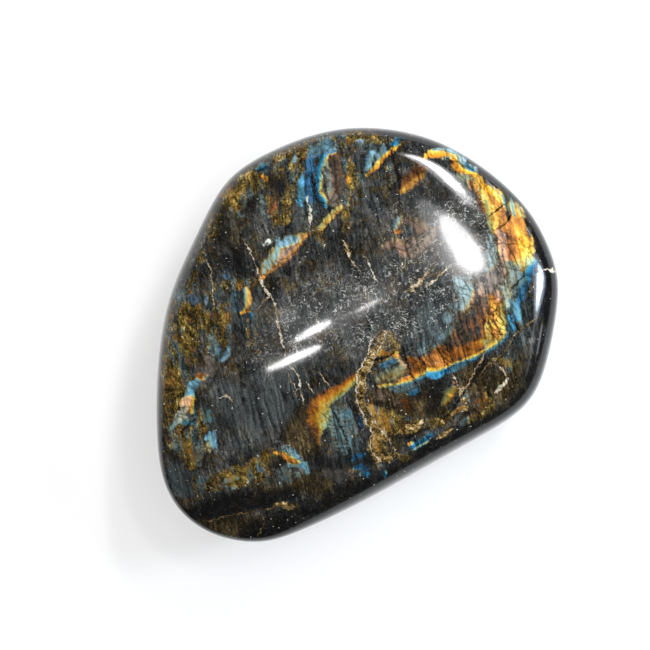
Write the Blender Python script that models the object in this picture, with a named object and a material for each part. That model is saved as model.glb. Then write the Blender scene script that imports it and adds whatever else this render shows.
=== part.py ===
"""A polished labradorite stone of palm size: one solid piece, its domed face up, lying on the flat of its back.

Seen from above, +X is to the right and +Y points away from the viewer. The origin is on the plane that the
stone rests on, in the middle of its box. Blender's lengths are metres, and the sizes below are millimetres.
"""

import bmesh
import bpy
from mathutils import Vector

MM = 0.001

# The stone's outline from above, anticlockwise from its rightmost point.
OUTLINE = [
    (39.9, 7.6), (39.0, 15.6), (35.8, 23.2), (30.6, 29.3), (24.0, 34.0), (16.8, 38.1), (8.4, 40.6),
    (-0.8, 41.2), (-9.4, 39.6), (-17.4, 36.4), (-24.4, 32.0), (-28.8, 26.2), (-32.0, 19.8), (-35.0, 13.4),
    (-37.6, 6.2), (-39.1, -1.6), (-39.8, -10.2), (-39.8, -19.0), (-38.8, -27.6), (-35.2, -34.8), (-28.4, -39.6),
    (-20.0, -41.1), (-11.6, -39.0), (0.2, -33.5), (11.8, -27.2), (23.6, -20.6), (33.4, -13.9), (37.9, -4.4),
]

# The face is a shallow dome. It falls off a little from the brow, and the shoulder turns it into the wall.
CROWN_HEIGHT = 28.4
FACE_RADIUS = 140.0
FACE_EDGE_INSET = 11.5
BROW_INSET = 5.8
BROW_DROP = 0.15
SHOULDER_DROP = 1.1
TIGHT_SHOULDER = 1.5
BROAD_SHOULDER = 2.3
BROAD_SIDE = Vector((-0.7, 0.7))

# The wall bulges to its widest line, and turns under to the heel and the flat that the stone rests on.
UPPER_WALL = {"inset": 0.1, "height": 19.4}
GIRTH_HEIGHT = 12.4
LOWER_WALL = {"inset": 1.2, "height": 5.6}
HEEL = {"inset": 5.6, "height": 1.3}
FOOT_INSET = 12.5

# The corners are moved out in this many passes, until the smooth outline runs through the given points.
OUTLINE_PASSES = 40

# Polishing rounds the cage this many times.
SMOOTHING_LEVELS = 2

STONE_COLOUR = (0.026, 0.029, 0.030, 1.0)
STONE_ROUGHNESS = 0.12


def clear_scene():
    for leftover in list(bpy.data.objects):
        bpy.data.objects.remove(leftover)


def stand_out(corners):
    """Cage corners that stand out enough for their smooth curve to pass through the given ones."""
    count = len(corners)
    cage = [corner.copy() for corner in corners]
    for _ in range(OUTLINE_PASSES):
        smooth = [(cage[i - 1] + 4 * cage[i] + cage[(i + 1) % count]) / 6 for i in range(count)]
        cage = [cage[i] + corners[i] - smooth[i] for i in range(count)]
    return cage


def moved_in(corner, inset):
    """The corner moved towards the stone's middle."""
    return corner * (1 - inset / corner.length)


def face_height(point):
    """How high the domed face is over a point of the outline's plane."""
    return CROWN_HEIGHT - point.length_squared / (2 * FACE_RADIUS)


def shoulder_inset(corner):
    """The shoulder is broad on the upper left and tight on the lower right."""
    share = 0.5 + 0.5 * corner.normalized().dot(BROAD_SIDE.normalized())
    return TIGHT_SHOULDER + (BROAD_SHOULDER - TIGHT_SHOULDER) * share


def under_face(corner, inset, drop=0.0):
    """A point at an inset from the outline, on the domed face or as far under it as the drop."""
    point = moved_in(corner, inset)
    return point.to_3d() + Vector((0, 0, face_height(point) - drop))


def ring_at(corners, inset, height):
    return [moved_in(corner, inset).to_3d() + Vector((0, 0, height)) for corner in corners]


def cage_rings():
    """The rings of the cage from the face's edge, over the shoulder and down the wall, to the foot."""
    corners = stand_out([Vector(point) for point in OUTLINE])
    girth_inset = -(UPPER_WALL["inset"] + LOWER_WALL["inset"]) / 4
    return [
        [under_face(corner, FACE_EDGE_INSET) for corner in corners],
        [under_face(corner, BROW_INSET, BROW_DROP) for corner in corners],
        [under_face(corner, shoulder_inset(corner), SHOULDER_DROP) for corner in corners],
        ring_at(corners, **UPPER_WALL),
        ring_at(corners, girth_inset, GIRTH_HEIGHT),
        ring_at(corners, **LOWER_WALL),
        ring_at(corners, **HEEL),
        ring_at(corners, FOOT_INSET, 0.0),
    ]


def cap_points(ring, height_of):
    """A square net of points inside a ring, with heights from a function: one row of the net for each list."""
    side = len(ring) // 4
    first, second = ring[:side + 1], ring[side:2 * side + 1]
    third, fourth = ring[3 * side:2 * side - 1:-1], [ring[-k % len(ring)] for k in range(side + 1)]
    net = []
    for row in range(side + 1):
        v = row / side
        points = []
        for column in range(side + 1):
            u = column / side
            along = first[column].lerp(third[column], v)
            across = fourth[row].lerp(second[row], u)
            corners = first[0].lerp(first[-1], u).lerp(third[0].lerp(third[-1], u), v)
            point = along + across - corners
            if 0 < row < side and 0 < column < side:
                point.z = height_of(point.to_2d())
            points.append(point)
        net.append(points)
    return net


def add_cap(mesh, ring_vertices, net):
    """Fills a ring with the net's faces, using the ring's own vertices along the net's border."""
    side = len(net) - 1
    border = {}
    for k in range(side + 1):
        border[0, k] = ring_vertices[k]
        border[k, side] = ring_vertices[side + k]
        border[side, k] = ring_vertices[3 * side - k]
        border[k, 0] = ring_vertices[-k % len(ring_vertices)]
    vertices = {
        (row, column): border.get((row, column)) or mesh.verts.new(net[row][column] * MM)
        for row in range(side + 1)
        for column in range(side + 1)
    }
    for row in range(side):
        for column in range(side):
            corners = [(row, column), (row, column + 1), (row + 1, column + 1), (row + 1, column)]
            mesh.faces.new([vertices[corner] for corner in corners])


def stone_mesh():
    mesh = bmesh.new()
    rings = cage_rings()
    loops = [[mesh.verts.new(point * MM) for point in ring] for ring in rings]
    count = len(OUTLINE)
    for upper, lower in zip(loops, loops[1:]):
        for k in range(count):
            following = (k + 1) % count
            mesh.faces.new([upper[k], lower[k], lower[following], upper[following]])
    add_cap(mesh, loops[0], cap_points(rings[0], face_height))
    add_cap(mesh, loops[-1], cap_points(rings[-1], lambda point: 0.0))
    bmesh.ops.recalc_face_normals(mesh, faces=mesh.faces)
    data = bpy.data.meshes.new("labradorite_stone")
    mesh.to_mesh(data)
    mesh.free()
    data.shade_smooth()
    return data


def stone_material():
    material = bpy.data.materials.new("polished_labradorite")
    material.use_nodes = True
    surface = material.node_tree.nodes["Principled BSDF"]
    surface.inputs["Base Color"].default_value = STONE_COLOUR
    surface.inputs["Roughness"].default_value = STONE_ROUGHNESS
    surface.inputs["Metallic"].default_value = 0.0
    return material


def main():
    clear_scene()
    stone = bpy.data.objects.new("stone", stone_mesh())
    bpy.context.scene.collection.objects.link(stone)
    stone.data.materials.append(stone_material())
    rounding = stone.modifiers.new("rounding", "SUBSURF")
    rounding.levels = SMOOTHING_LEVELS
    rounding.render_levels = SMOOTHING_LEVELS


main()
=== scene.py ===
"""The look of a polished labradorite stone: its shape, the markings in it, and the studio round it.

Blender's lengths are metres. The sizes and places below are millimetres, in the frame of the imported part:
+X to the right and +Y away as the face is seen from above, +Z up, the stone's flat at height 0. Marks on the
face are drawn as they look from the camera, on the level of the stone's widest line.
"""
import math
from collections import namedtuple

import bmesh
import bpy
import numpy as np
from mathutils import Matrix, Vector


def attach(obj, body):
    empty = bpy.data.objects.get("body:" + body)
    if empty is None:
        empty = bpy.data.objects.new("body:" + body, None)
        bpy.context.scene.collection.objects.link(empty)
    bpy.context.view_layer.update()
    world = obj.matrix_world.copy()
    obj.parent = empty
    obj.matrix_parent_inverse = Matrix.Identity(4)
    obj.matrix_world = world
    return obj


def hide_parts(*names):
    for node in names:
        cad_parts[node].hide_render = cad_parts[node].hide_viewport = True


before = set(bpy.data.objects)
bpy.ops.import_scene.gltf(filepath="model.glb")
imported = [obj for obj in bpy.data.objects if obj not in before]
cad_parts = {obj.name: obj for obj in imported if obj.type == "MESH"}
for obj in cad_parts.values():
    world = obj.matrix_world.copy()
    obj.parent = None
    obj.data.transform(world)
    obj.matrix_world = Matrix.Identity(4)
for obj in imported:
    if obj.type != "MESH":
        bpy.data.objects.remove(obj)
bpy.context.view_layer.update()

MM = 0.001

# The stone's outline from above, anticlockwise from its rightmost point.
OUTLINE = [
    (39.9, 7.6), (38.8, 15.5), (35.3, 22.9), (30.2, 29.0), (24.0, 34.0), (16.8, 38.1),
    (8.4, 40.6), (-0.8, 41.2), (-9.4, 39.6), (-17.4, 36.4), (-24.4, 32.0), (-28.8, 26.2),
    (-32.0, 19.8), (-35.0, 13.4), (-37.6, 6.2), (-39.1, -1.6), (-39.8, -10.2), (-39.8, -19.0),
    (-38.8, -27.6), (-35.2, -34.8), (-28.4, -39.6), (-20.0, -41.1), (-11.6, -39.0), (0.2, -33.5),
    (11.8, -27.2), (23.6, -20.6), (33.4, -13.9), (37.9, -4.4),
]

# The face is a shallow dome. It falls off a little from the brow, and the shoulder turns it into the wall.
CROWN_HEIGHT = 28.4
FACE_RADIUS = 140.0
FACE_EDGE_INSET = 11.5
BROW_INSET = 5.8
BROW_DROP = 0.15
SHOULDER_DROP = 1.1
TIGHT_SHOULDER = 1.5
BROAD_SHOULDER = 2.3
BROAD_SIDE = Vector((-0.7, 0.7))

# The wall bulges to its widest line, and turns under to the heel and the flat that the stone rests on.
UPPER_WALL = {"inset": 0.1, "height": 19.4}
GIRTH_HEIGHT = 12.4
LOWER_WALL = {"inset": 1.2, "height": 5.6}
HEEL = {"inset": 5.6, "height": 1.3}
FOOT_INSET = 12.5

# Polishing takes this much off the widest line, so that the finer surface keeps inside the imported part's box,
# and rounds the cage this many times. The face and the flat are nets of this many squares to a side. The
# corners are moved out in this many passes, until the smooth outline runs through the given points.
POLISH_LOSS = 0.02
POLISH_LEVELS = 4
NET_SIDE = 7
OUTLINE_PASSES = 40

# The camera looks straight down from here, and the picture is this wide where the stone is widest.
CAMERA_PLACE = (-6.4, 2.0, 600.0)
VIEW_WIDTH = 130.0
SENSOR_WIDTH = 36.0
CLIP_START = 0.01
CLIP_END = 10.0

# The colours of the flashes in the order in which the stone shows them, as shares of one scale.
BROWN, RUST, ORANGE, AMBER, YELLOW, LIME = 0.05, 0.16, 0.29, 0.38, 0.47, 0.56
CYAN, SKY, BLUE, NAVY = 0.66, 0.75, 0.84, 0.95

# Strokes: the points between two given ones, how softly a flash ends, how much more softly a wide one
# does, and the half-width that a thinner one's hues are spread over. A later flash takes over between these
# shares of its cover, and at once where little was covered before. A zone is whole up to the first of its two
# shares of the half-width, and gone at the second.
LINE_STEPS = 4
EDGE_SPREAD = 0.85
WIDE_SPREAD = 0.6
THINNEST_FLASH = 0.1
HUE_EDGES = (0.25, 0.65)
LITTLE_COVER = 0.35
ZONE_FADE = (0.5, 1.6)

# Veins: how far from a vein its distances are kept, the shares of that reach between which it fades out, the
# width that stands for no vein, and how much a vein widens in places.
VEIN_REACH = 1.6
VEIN_FADE = (0.5, 0.9)
NO_VEIN = -0.4
VEIN_SWELL = 1.05
VEIN_LAYERS = ["long_veins", "cross_veins", "cracks"]

# The heights between which the marks of the back give way to those of the face.
BACK_REACH = 8.0
FACE_REACH = 13.0

# Colours from dark to light, each at its place on a scale from 0 to 1.
DARK_TONES = [(0.0, (0.002, 0.002, 0.002)), (0.25, (0.009, 0.010, 0.009)), (0.5, (0.031, 0.033, 0.032)),
              (0.75, (0.085, 0.086, 0.080)), (1.0, (0.26, 0.26, 0.23))]
SLATE_TONES = [(0.0, (0.006, 0.007, 0.008)), (0.25, (0.024, 0.028, 0.028)), (0.5, (0.050, 0.057, 0.057)),
               (0.75, (0.084, 0.095, 0.093)), (1.0, (0.16, 0.18, 0.18))]
BROWN_TONES = [(0.0, (0.003, 0.002, 0.001)), (0.3, (0.012, 0.008, 0.002)), (0.55, (0.040, 0.026, 0.008)),
               (0.8, (0.110, 0.073, 0.022)), (1.0, (0.27, 0.20, 0.09))]
TEAL_TONES = [(0.0, (0.004, 0.006, 0.007)), (0.3, (0.015, 0.024, 0.026)), (0.55, (0.040, 0.068, 0.074)),
              (1.0, (0.16, 0.26, 0.27))]
GOLD_TONES = [(0.0, (0.004, 0.003, 0.001)), (0.3, (0.022, 0.015, 0.005)), (0.52, (0.088, 0.060, 0.014)),
              (0.72, (0.23, 0.155, 0.030)), (0.88, (0.46, 0.33, 0.09)), (1.0, (0.74, 0.62, 0.30))]
EMBER_TONES = [(0.0, (0.05, 0.020, 0.005)), (0.5, (0.24, 0.10, 0.020)), (1.0, (0.66, 0.34, 0.09))]
CRUST_TONES = [(0.0, (0.004, 0.003, 0.001)), (0.3, (0.036, 0.021, 0.005)), (0.52, (0.155, 0.090, 0.020)),
               (0.75, (0.38, 0.245, 0.075)), (1.0, (0.72, 0.60, 0.37))]
FLASH_TONES = [(0.0, (0.035, 0.018, 0.009)), (BROWN, (0.105, 0.052, 0.020)), (RUST, (0.33, 0.112, 0.022)),
               (ORANGE, (0.70, 0.24, 0.038)), (AMBER, (0.86, 0.38, 0.032)), (YELLOW, (0.86, 0.60, 0.09)),
               (LIME, (0.46, 0.54, 0.24)), (CYAN, (0.15, 0.40, 0.44)), (SKY, (0.045, 0.29, 0.48)),
               (BLUE, (0.022, 0.12, 0.24)), (NAVY, (0.010, 0.030, 0.07))]
VEIN_TONES = [(0.0, (0.003, 0.003, 0.003)), (0.3, (0.03, 0.018, 0.008)), (0.6, (0.17, 0.11, 0.045)),
              (0.8, (0.38, 0.29, 0.17)), (0.95, (0.66, 0.60, 0.50))]
BLACK = (0.004, 0.004, 0.004, 1.0)
# The grey of the painted sheen, a painted reflection of the lamps round the highlights.
PAINTED_SHEEN_GREY = (0.13, 0.13, 0.13, 1.0)
# The pale of the real scratches, painted as they look where they catch the light.
LIT_SCRATCH_PALE = (0.46, 0.45, 0.41, 1.0)
# The pale of grains painted as glints, where pits catch the light.
GRAIN_GLINT_PALE = (0.78, 0.76, 0.70, 1.0)
MILK = (0.52, 0.52, 0.47, 1.0)

# Fine scratches, painted pale as they look where they catch the light: how far apart they curl, how thin they
# are, how much they swirl, and the size of the noise that breaks them up.
LIT_SCRATCH_LINES = [(2.2, 0.020, 1.2, 1.3), (1.5, 0.026, 0.7, 1.1), (1.1, 0.034, 0.4, 0.8)]

# The cleavage cracks across the flashes: the way they lean in degrees, how drawn out they are, and how far
# apart they lie.
CLEAVAGES = [(-24.0, 0.34, 1.9), (-52.0, 0.4, 3.4)]

# Long dark seams in the body: the way they lean in degrees, how far apart they are, how wide they are as a
# share of that, and how dark. All are drawn out by the stretch.
SEAMS = [(-13.0, 1.7, 0.07, 0.75), (-30.0, 3.0, 0.045, 0.7), (38.0, 4.2, 0.03, 0.6)]
SEAM_STRETCH = (1.0, 0.07, 0.3)

# Pale grains in the polish, painted as glints where pits catch the light: the way they lean in degrees, their
# spacing, the share of places that hold one, how far the largest reaches as a share of the spacing, and how
# much they are drawn out.
GRAIN_GLINTS = [(-10.0, 1.1, 0.50, 0.11, 0.35), (30.0, 1.4, 0.45, 0.085, 0.6), (80.0, 0.8, 0.45, 0.13, 0.5)]

# Dark flecks along the grain of the stone, and pits: spacing, share of places that hold one, and how far the
# largest reaches, as a share of the spacing. Then how the flecks are drawn out, and how deep the pits are.
DARK_FLECKS = (0.8, 0.4, 0.15)
PITS = (1.3, 0.35, 0.12)
FLECK_STRETCH = (1.0, 0.22, 1.0)
PIT_DEPTH = 0.02

# The twinned grain leans and dips by these angles in degrees. Each noise is given by its size, detail,
# roughness and swirl, and the last four, which push other patterns about, by their size and amount.
TWIN_LEAN = -12.0
TWIN_TURN = (0.0, 8.0, TWIN_LEAN)
TWIN_STRETCH = (1.0, 0.06, 0.3)
STREAK_STRETCH = (1.0, 0.25, 0.5)
COLUMN_STRETCH = (1.0, 0.5, 0.6)
CLOUDS = (6.0, 4.0, 0.6, 0.4)
DRIFT = (1.8, 4.0, 0.62, 0.5)
LINES = (0.6, 3.0, 0.6)
DASHES = (0.34, 3.0, 0.7)
GRAIN = (0.42, 4.0, 0.75)
OLIVE_CLOUDS = (3.0, 5.0, 0.65, 0.8)
GOLD_BLOTS = (1.5, 4.0, 0.62, 0.6)
EMBER_CLOUDS = (2.2, 3.0, 0.55)
BLUE_GAPS = (2.6, 3.0, 0.6, 0.4)
VEIN_WANDER = (0.8, 3.0, 0.65)
VEIN_BEADS = (0.9, 3.0, 0.6)
RAGGED = (1.4, 0.6)
ROUGH = (0.4, 0.16)
TWIN_WARP = (4.0, 0.8)
CLEAVAGE_WARP = (1.5, 0.25)

# The polish: its roughness from the smoothest to the dullest grain, how much duller a pit is, and how
# strongly it bends light.
GLOSS = (0.035, 0.07)
PIT_DULLNESS = 0.5
POLISH_IOR = 1.5

# The studio: a pale table that glows like a light box, and air that is dark overhead and pale at the horizon.
FLOOR_SIZE = 3.0
FLOOR_GLOW = 0.5
FLOOR_ROUGHNESS = 0.8
FLOOR_CLOUD_SIZE = 60.0
FLOOR_SHADES = [(0.3, (0.49, 0.49, 0.49)), (0.7, (0.51, 0.51, 0.51))]
WHITE = (1.0, 1.0, 1.0, 1.0)
HORIZON_LIGHT = (0.45, 0.46, 0.47, 1.0)
OVERHEAD_LIGHT = (0.05, 0.05, 0.05, 1.0)
HORIZON_RISE = 0.16

# A lamp is a chain of ovals along a path of directions from the crown, each given as steps right and away for
# each step up, with the lamp's width there. Its strength is how bright its surface is. Its rims say how much
# wider each oval is made again, and how bright that wider one is, as shares.
LAMP_DISTANCE = 600.0
DAYLIGHT = (1.0, 1.0, 1.0)
SKYLIGHT = (0.80, 0.90, 1.0)
BLUE_SKY = (0.30, 0.48, 1.0)
SOFT_RIMS = [(1.0, 1.0), (1.4, 0.20), (1.9, 0.05)]
THIN_RIMS = [(1.0, 1.0), (1.8, 0.14)]
Lamp = namedtuple("Lamp", "name path strength colour rims", defaults=(DAYLIGHT, THIN_RIMS))
LAMPS = [
    Lamp("window", [(0.325, 0.430, 46.0), (0.450, 0.226, 46.0)], 22.0, rims=SOFT_RIMS),
    Lamp("window_foot", [(0.385, 0.320, 54.0), (0.456, 0.220, 54.0)], 8.0),
    Lamp("window_glow", [(0.250, 0.500, 54.0), (0.385, 0.290, 58.0), (0.410, 0.190, 58.0)], 3.2,
         rims=SOFT_RIMS),
    Lamp("upper_strip", [(-0.206, -0.030, 5.0), (-0.166, -0.004, 10.0), (-0.122, 0.019, 12.0),
                         (-0.074, 0.041, 5.0)], 30.0, rims=SOFT_RIMS),
    Lamp("strip_link", [(-0.060, 0.046, 6.0), (0.020, 0.078, 6.0)], 3.0),
    Lamp("strip_tail", [(0.012, 0.074, 4.5), (0.052, 0.094, 6.5), (0.090, 0.114, 4.5)], 17.0),
    Lamp("strip_glow", [(-0.130, 0.010, 44.0), (0.120, 0.150, 48.0)], 1.5, rims=SOFT_RIMS),
    Lamp("strip_bloom", [(-0.270, 0.030, 30.0), (-0.190, 0.080, 34.0)], 2.0, rims=SOFT_RIMS),
    Lamp("lower_strip", [(-0.310, -0.136, 5.0), (-0.250, -0.106, 10.0), (-0.185, -0.076, 12.0),
                         (-0.112, -0.044, 5.0)], 34.0, rims=SOFT_RIMS),
    Lamp("far_window", [(0.350, 1.34, 30.0), (0.44, 1.33, 46.0), (0.515, 1.29, 60.0), (0.550, 1.18, 68.0),
                        (0.550, 1.03, 70.0), (0.555, 0.93, 68.0), (0.550, 0.82, 58.0), (0.530, 0.72, 40.0),
                        (0.520, 0.60, 16.0)], 19.0),
    Lamp("side_window", [(2.10, 0.70, 44.0), (1.76, 0.49, 92.0), (1.66, 0.36, 106.0), (1.48, 0.17, 84.0),
                         (1.39, 0.085, 58.0), (1.376, 0.01, 22.0)], 20.0, SKYLIGHT),
    Lamp("side_fringe", [(2.10, 0.70, 70.0), (1.80, 0.47, 130.0), (1.70, 0.33, 150.0), (1.50, 0.13, 110.0)],
         3.0, BLUE_SKY),
    Lamp("side_glint", [(2.67, 1.65, 24.0), (2.50, 1.33, 24.0)], 9.0, SKYLIGHT),
    Lamp("far_glint", [(4.23, 5.12, 20.0), (3.13, 3.49, 34.0), (2.66, 2.62, 16.0)], 8.0, SKYLIGHT),
    Lamp("side_line", [(1.355, -0.06, 20.0), (1.548, -0.157, 30.0), (1.509, -0.238, 30.0),
                       (1.767, -0.547, 24.0)], 2.6, SKYLIGHT),
    Lamp("side_tail", [(2.38, -0.17, 30.0), (2.78, -0.34, 36.0), (3.44, -0.62, 30.0)], 4.0, SKYLIGHT),
]

# The ceiling that fills the shadows.
CEILING_SIZE = 2000.0
CEILING_HEIGHT = 1500.0
CEILING_STRENGTH = 1.25

# A flash is a brush stroke: points with half-widths, the colours of its left and right edges as the stroke
# runs, how brightly it shines, how milky it is, how softly it ends, and how fully it hides the body. Later
# strokes lie over earlier ones.
Flash = namedtuple("Flash", "line left right glow pale soft full", defaults=(1.0, 0.0, 1.0, 1.0))
RIGHT_ARC = [
    Flash([(13.4, 35.3, 0.2), (14.5, 36.2, 0.7), (16.0, 36.3, 0.8), (17.8, 36.2, 0.7), (19.0, 35.6, 0.5)],
          YELLOW, ORANGE, 1.05),
    Flash([(15.3, 37.1, 0.2), (17.0, 37.2, 0.35), (18.6, 36.9, 0.45), (20.2, 36.0, 0.45), (21.6, 35.0, 0.3)],
          SKY, LIME, 0.85, 0.35),
    Flash([(17.4, 35.3, 0.25), (18.3, 35.4, 0.4)], CYAN, CYAN, 0.8, 0.4),
    Flash([(19.4, 35.6, 0.5), (19.8, 34.4, 0.6), (20.2, 33.4, 0.6), (21.4, 32.9, 0.5), (22.8, 32.4, 0.4),
           (24.0, 31.8, 0.4)], YELLOW, ORANGE, 1.05),
    Flash([(20.7, 35.1, 0.5), (21.3, 34.4, 0.5), (22.3, 33.6, 0.5), (23.6, 33.2, 0.4)], CYAN, CYAN, 0.9, 0.6),
    Flash([(21.7, 34.3, 0.3), (22.3, 33.6, 0.35), (23.2, 33.0, 0.3)], SKY, SKY, 1.0),
    Flash([(20.4, 31.8, 0.5), (21.8, 31.3, 0.7), (23.0, 30.4, 0.7)], LIME, LIME, 0.55, 0.5, 1.5),
    Flash([(23.2, 30.4, 0.8), (24.2, 28.6, 1.0), (25.2, 26.8, 0.8), (25.6, 25.0, 0.6)],
          LIME, BROWN, 0.32, 0.2, 1.8),
    Flash([(24.2, 31.3, 0.6), (24.6, 30.0, 1.1), (26.0, 28.4, 1.6), (27.4, 26.8, 2.0), (28.0, 25.0, 2.0),
           (28.2, 23.2, 1.8), (28.8, 21.4, 1.5), (29.3, 19.4, 1.1)], ORANGE, YELLOW, 0.84, 0.12),
    Flash([(24.6, 31.4, 0.4), (25.6, 29.7, 0.6), (27.2, 28.7, 0.8), (28.5, 27.8, 0.8), (29.2, 26.4, 0.4)],
          YELLOW, AMBER, 1.0),
    Flash([(29.2, 27.8, 0.2), (29.8, 26.2, 0.4), (30.1, 25.0, 0.3)], CYAN, CYAN, 0.8, 0.4),
    Flash([(25.8, 26.8, 0.3), (26.2, 24.5, 0.3), (26.6, 22.2, 0.35), (27.2, 20.4, 0.35)], YELLOW, LIME, 0.45),
    Flash([(27.6, 28.2, 0.4), (28.3, 27.5, 0.5), (28.7, 26.8, 0.3)], YELLOW, YELLOW, 1.15, 0.0, 0.9),
    Flash([(28.4, 20.6, 0.6), (29.2, 18.6, 1.1), (29.8, 16.6, 1.1), (29.8, 14.6, 0.9), (29.6, 12.8, 0.6)],
          RUST, RUST, 1.2, 0.35, 1.8),
    Flash([(26.9, 19.4, 0.5), (26.9, 17.5, 1.0), (27.2, 15.5, 1.2), (27.4, 13.4, 1.1)],
          CYAN, CYAN, 0.85, 0.65, 2.2, 0.9),
    Flash([(30.9, 26.4, 0.4), (31.6, 24.4, 1.0), (32.0, 22.4, 1.8), (31.9, 20.4, 2.0), (32.4, 18.6, 2.5),
           (33.0, 17.0, 2.3), (32.9, 15.6, 1.6)], AMBER, ORANGE, 1.0, 0.08),
    Flash([(30.9, 19.4, 0.8), (31.0, 17.2, 1.0), (31.2, 15.2, 0.9)], ORANGE, RUST, 1.0, 0.08, 1.3),
    Flash([(32.6, 19.8, 0.6), (33.3, 18.4, 1.3), (33.9, 16.9, 1.4), (33.8, 15.6, 0.8)], YELLOW, AMBER, 1.2),
    Flash([(31.4, 26.4, 0.4), (32.7, 24.8, 0.5), (33.5, 23.2, 0.3)], YELLOW, YELLOW, 0.8, 0.3),
    Flash([(30.8, 27.2, 0.25), (31.2, 24.9, 0.3), (31.6, 23.8, 0.25)], CYAN, CYAN, 0.85, 0.35),
    Flash([(34.8, 15.4, 0.5), (33.6, 14.4, 0.9), (31.8, 14.0, 1.1), (30.8, 13.2, 0.8)],
          LIME, YELLOW, 0.95, 0.2, 1.4),
    Flash([(30.2, 14.0, 0.9), (31.4, 12.0, 1.4), (31.0, 10.4, 1.6), (29.8, 8.8, 1.0)],
          CYAN, LIME, 0.6, 0.7, 1.8, 0.9),
    Flash([(28.6, 13.4, 0.8), (27.6, 11.6, 1.4), (26.8, 9.8, 1.3)], RUST, RUST, 0.45, 0.8, 2.2, 0.9),
    Flash([(33.2, 13.3, 0.2), (32.9, 12.7, 0.25)], AMBER, RUST, 0.5, 0.0, 0.8),
    Flash([(32.8, 12.2, 0.3), (33.2, 11.2, 0.6), (32.4, 9.8, 0.8)], CYAN, CYAN, 0.45, 0.25, 1.4),
    Flash([(35.9, 14.6, 0.3), (35.1, 13.6, 0.6), (34.2, 12.6, 0.7), (34.1, 11.2, 0.5)], BLUE, CYAN, 0.7),
    Flash([(35.0, 12.9, 0.25), (35.3, 12.2, 0.35)], SKY, SKY, 1.2, 0.0, 0.8),
    Flash([(34.2, 11.4, 0.2), (34.7, 11.0, 0.25)], SKY, SKY, 0.9, 0.0, 0.8),
    Flash([(34.0, 10.4, 0.4), (33.2, 9.0, 0.8), (32.8, 7.4, 0.8), (32.4, 6.2, 0.4)],
          BLUE, SKY, 0.7, 0.05, 1.3),
    Flash([(30.2, 9.4, 0.7), (30.5, 7.2, 0.9), (30.2, 5.6, 0.6)], LIME, LIME, 0.85, 0.6, 1.5, 0.95),
    Flash([(30.9, 7.0, 0.4), (31.6, 5.2, 0.8), (32.2, 3.4, 0.5)], CYAN, SKY, 0.85, 0.15, 1.3),
    Flash([(30.3, 5.2, 0.25), (30.4, 3.4, 0.35), (30.4, 1.6, 0.3), (31.2, 0.4, 0.3)],
          SKY, CYAN, 0.4, 0.0, 1.3),
    Flash([(30.4, 3.8, 0.2), (30.9, 2.5, 0.35), (31.6, 1.1, 0.3)], SKY, SKY, 1.3, 0.05, 0.8),
    Flash([(31.0, 5.3, 0.2), (31.6, 4.2, 0.3), (32.3, 3.2, 0.2)], CYAN, SKY, 0.9, 0.1, 0.9),
]
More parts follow.
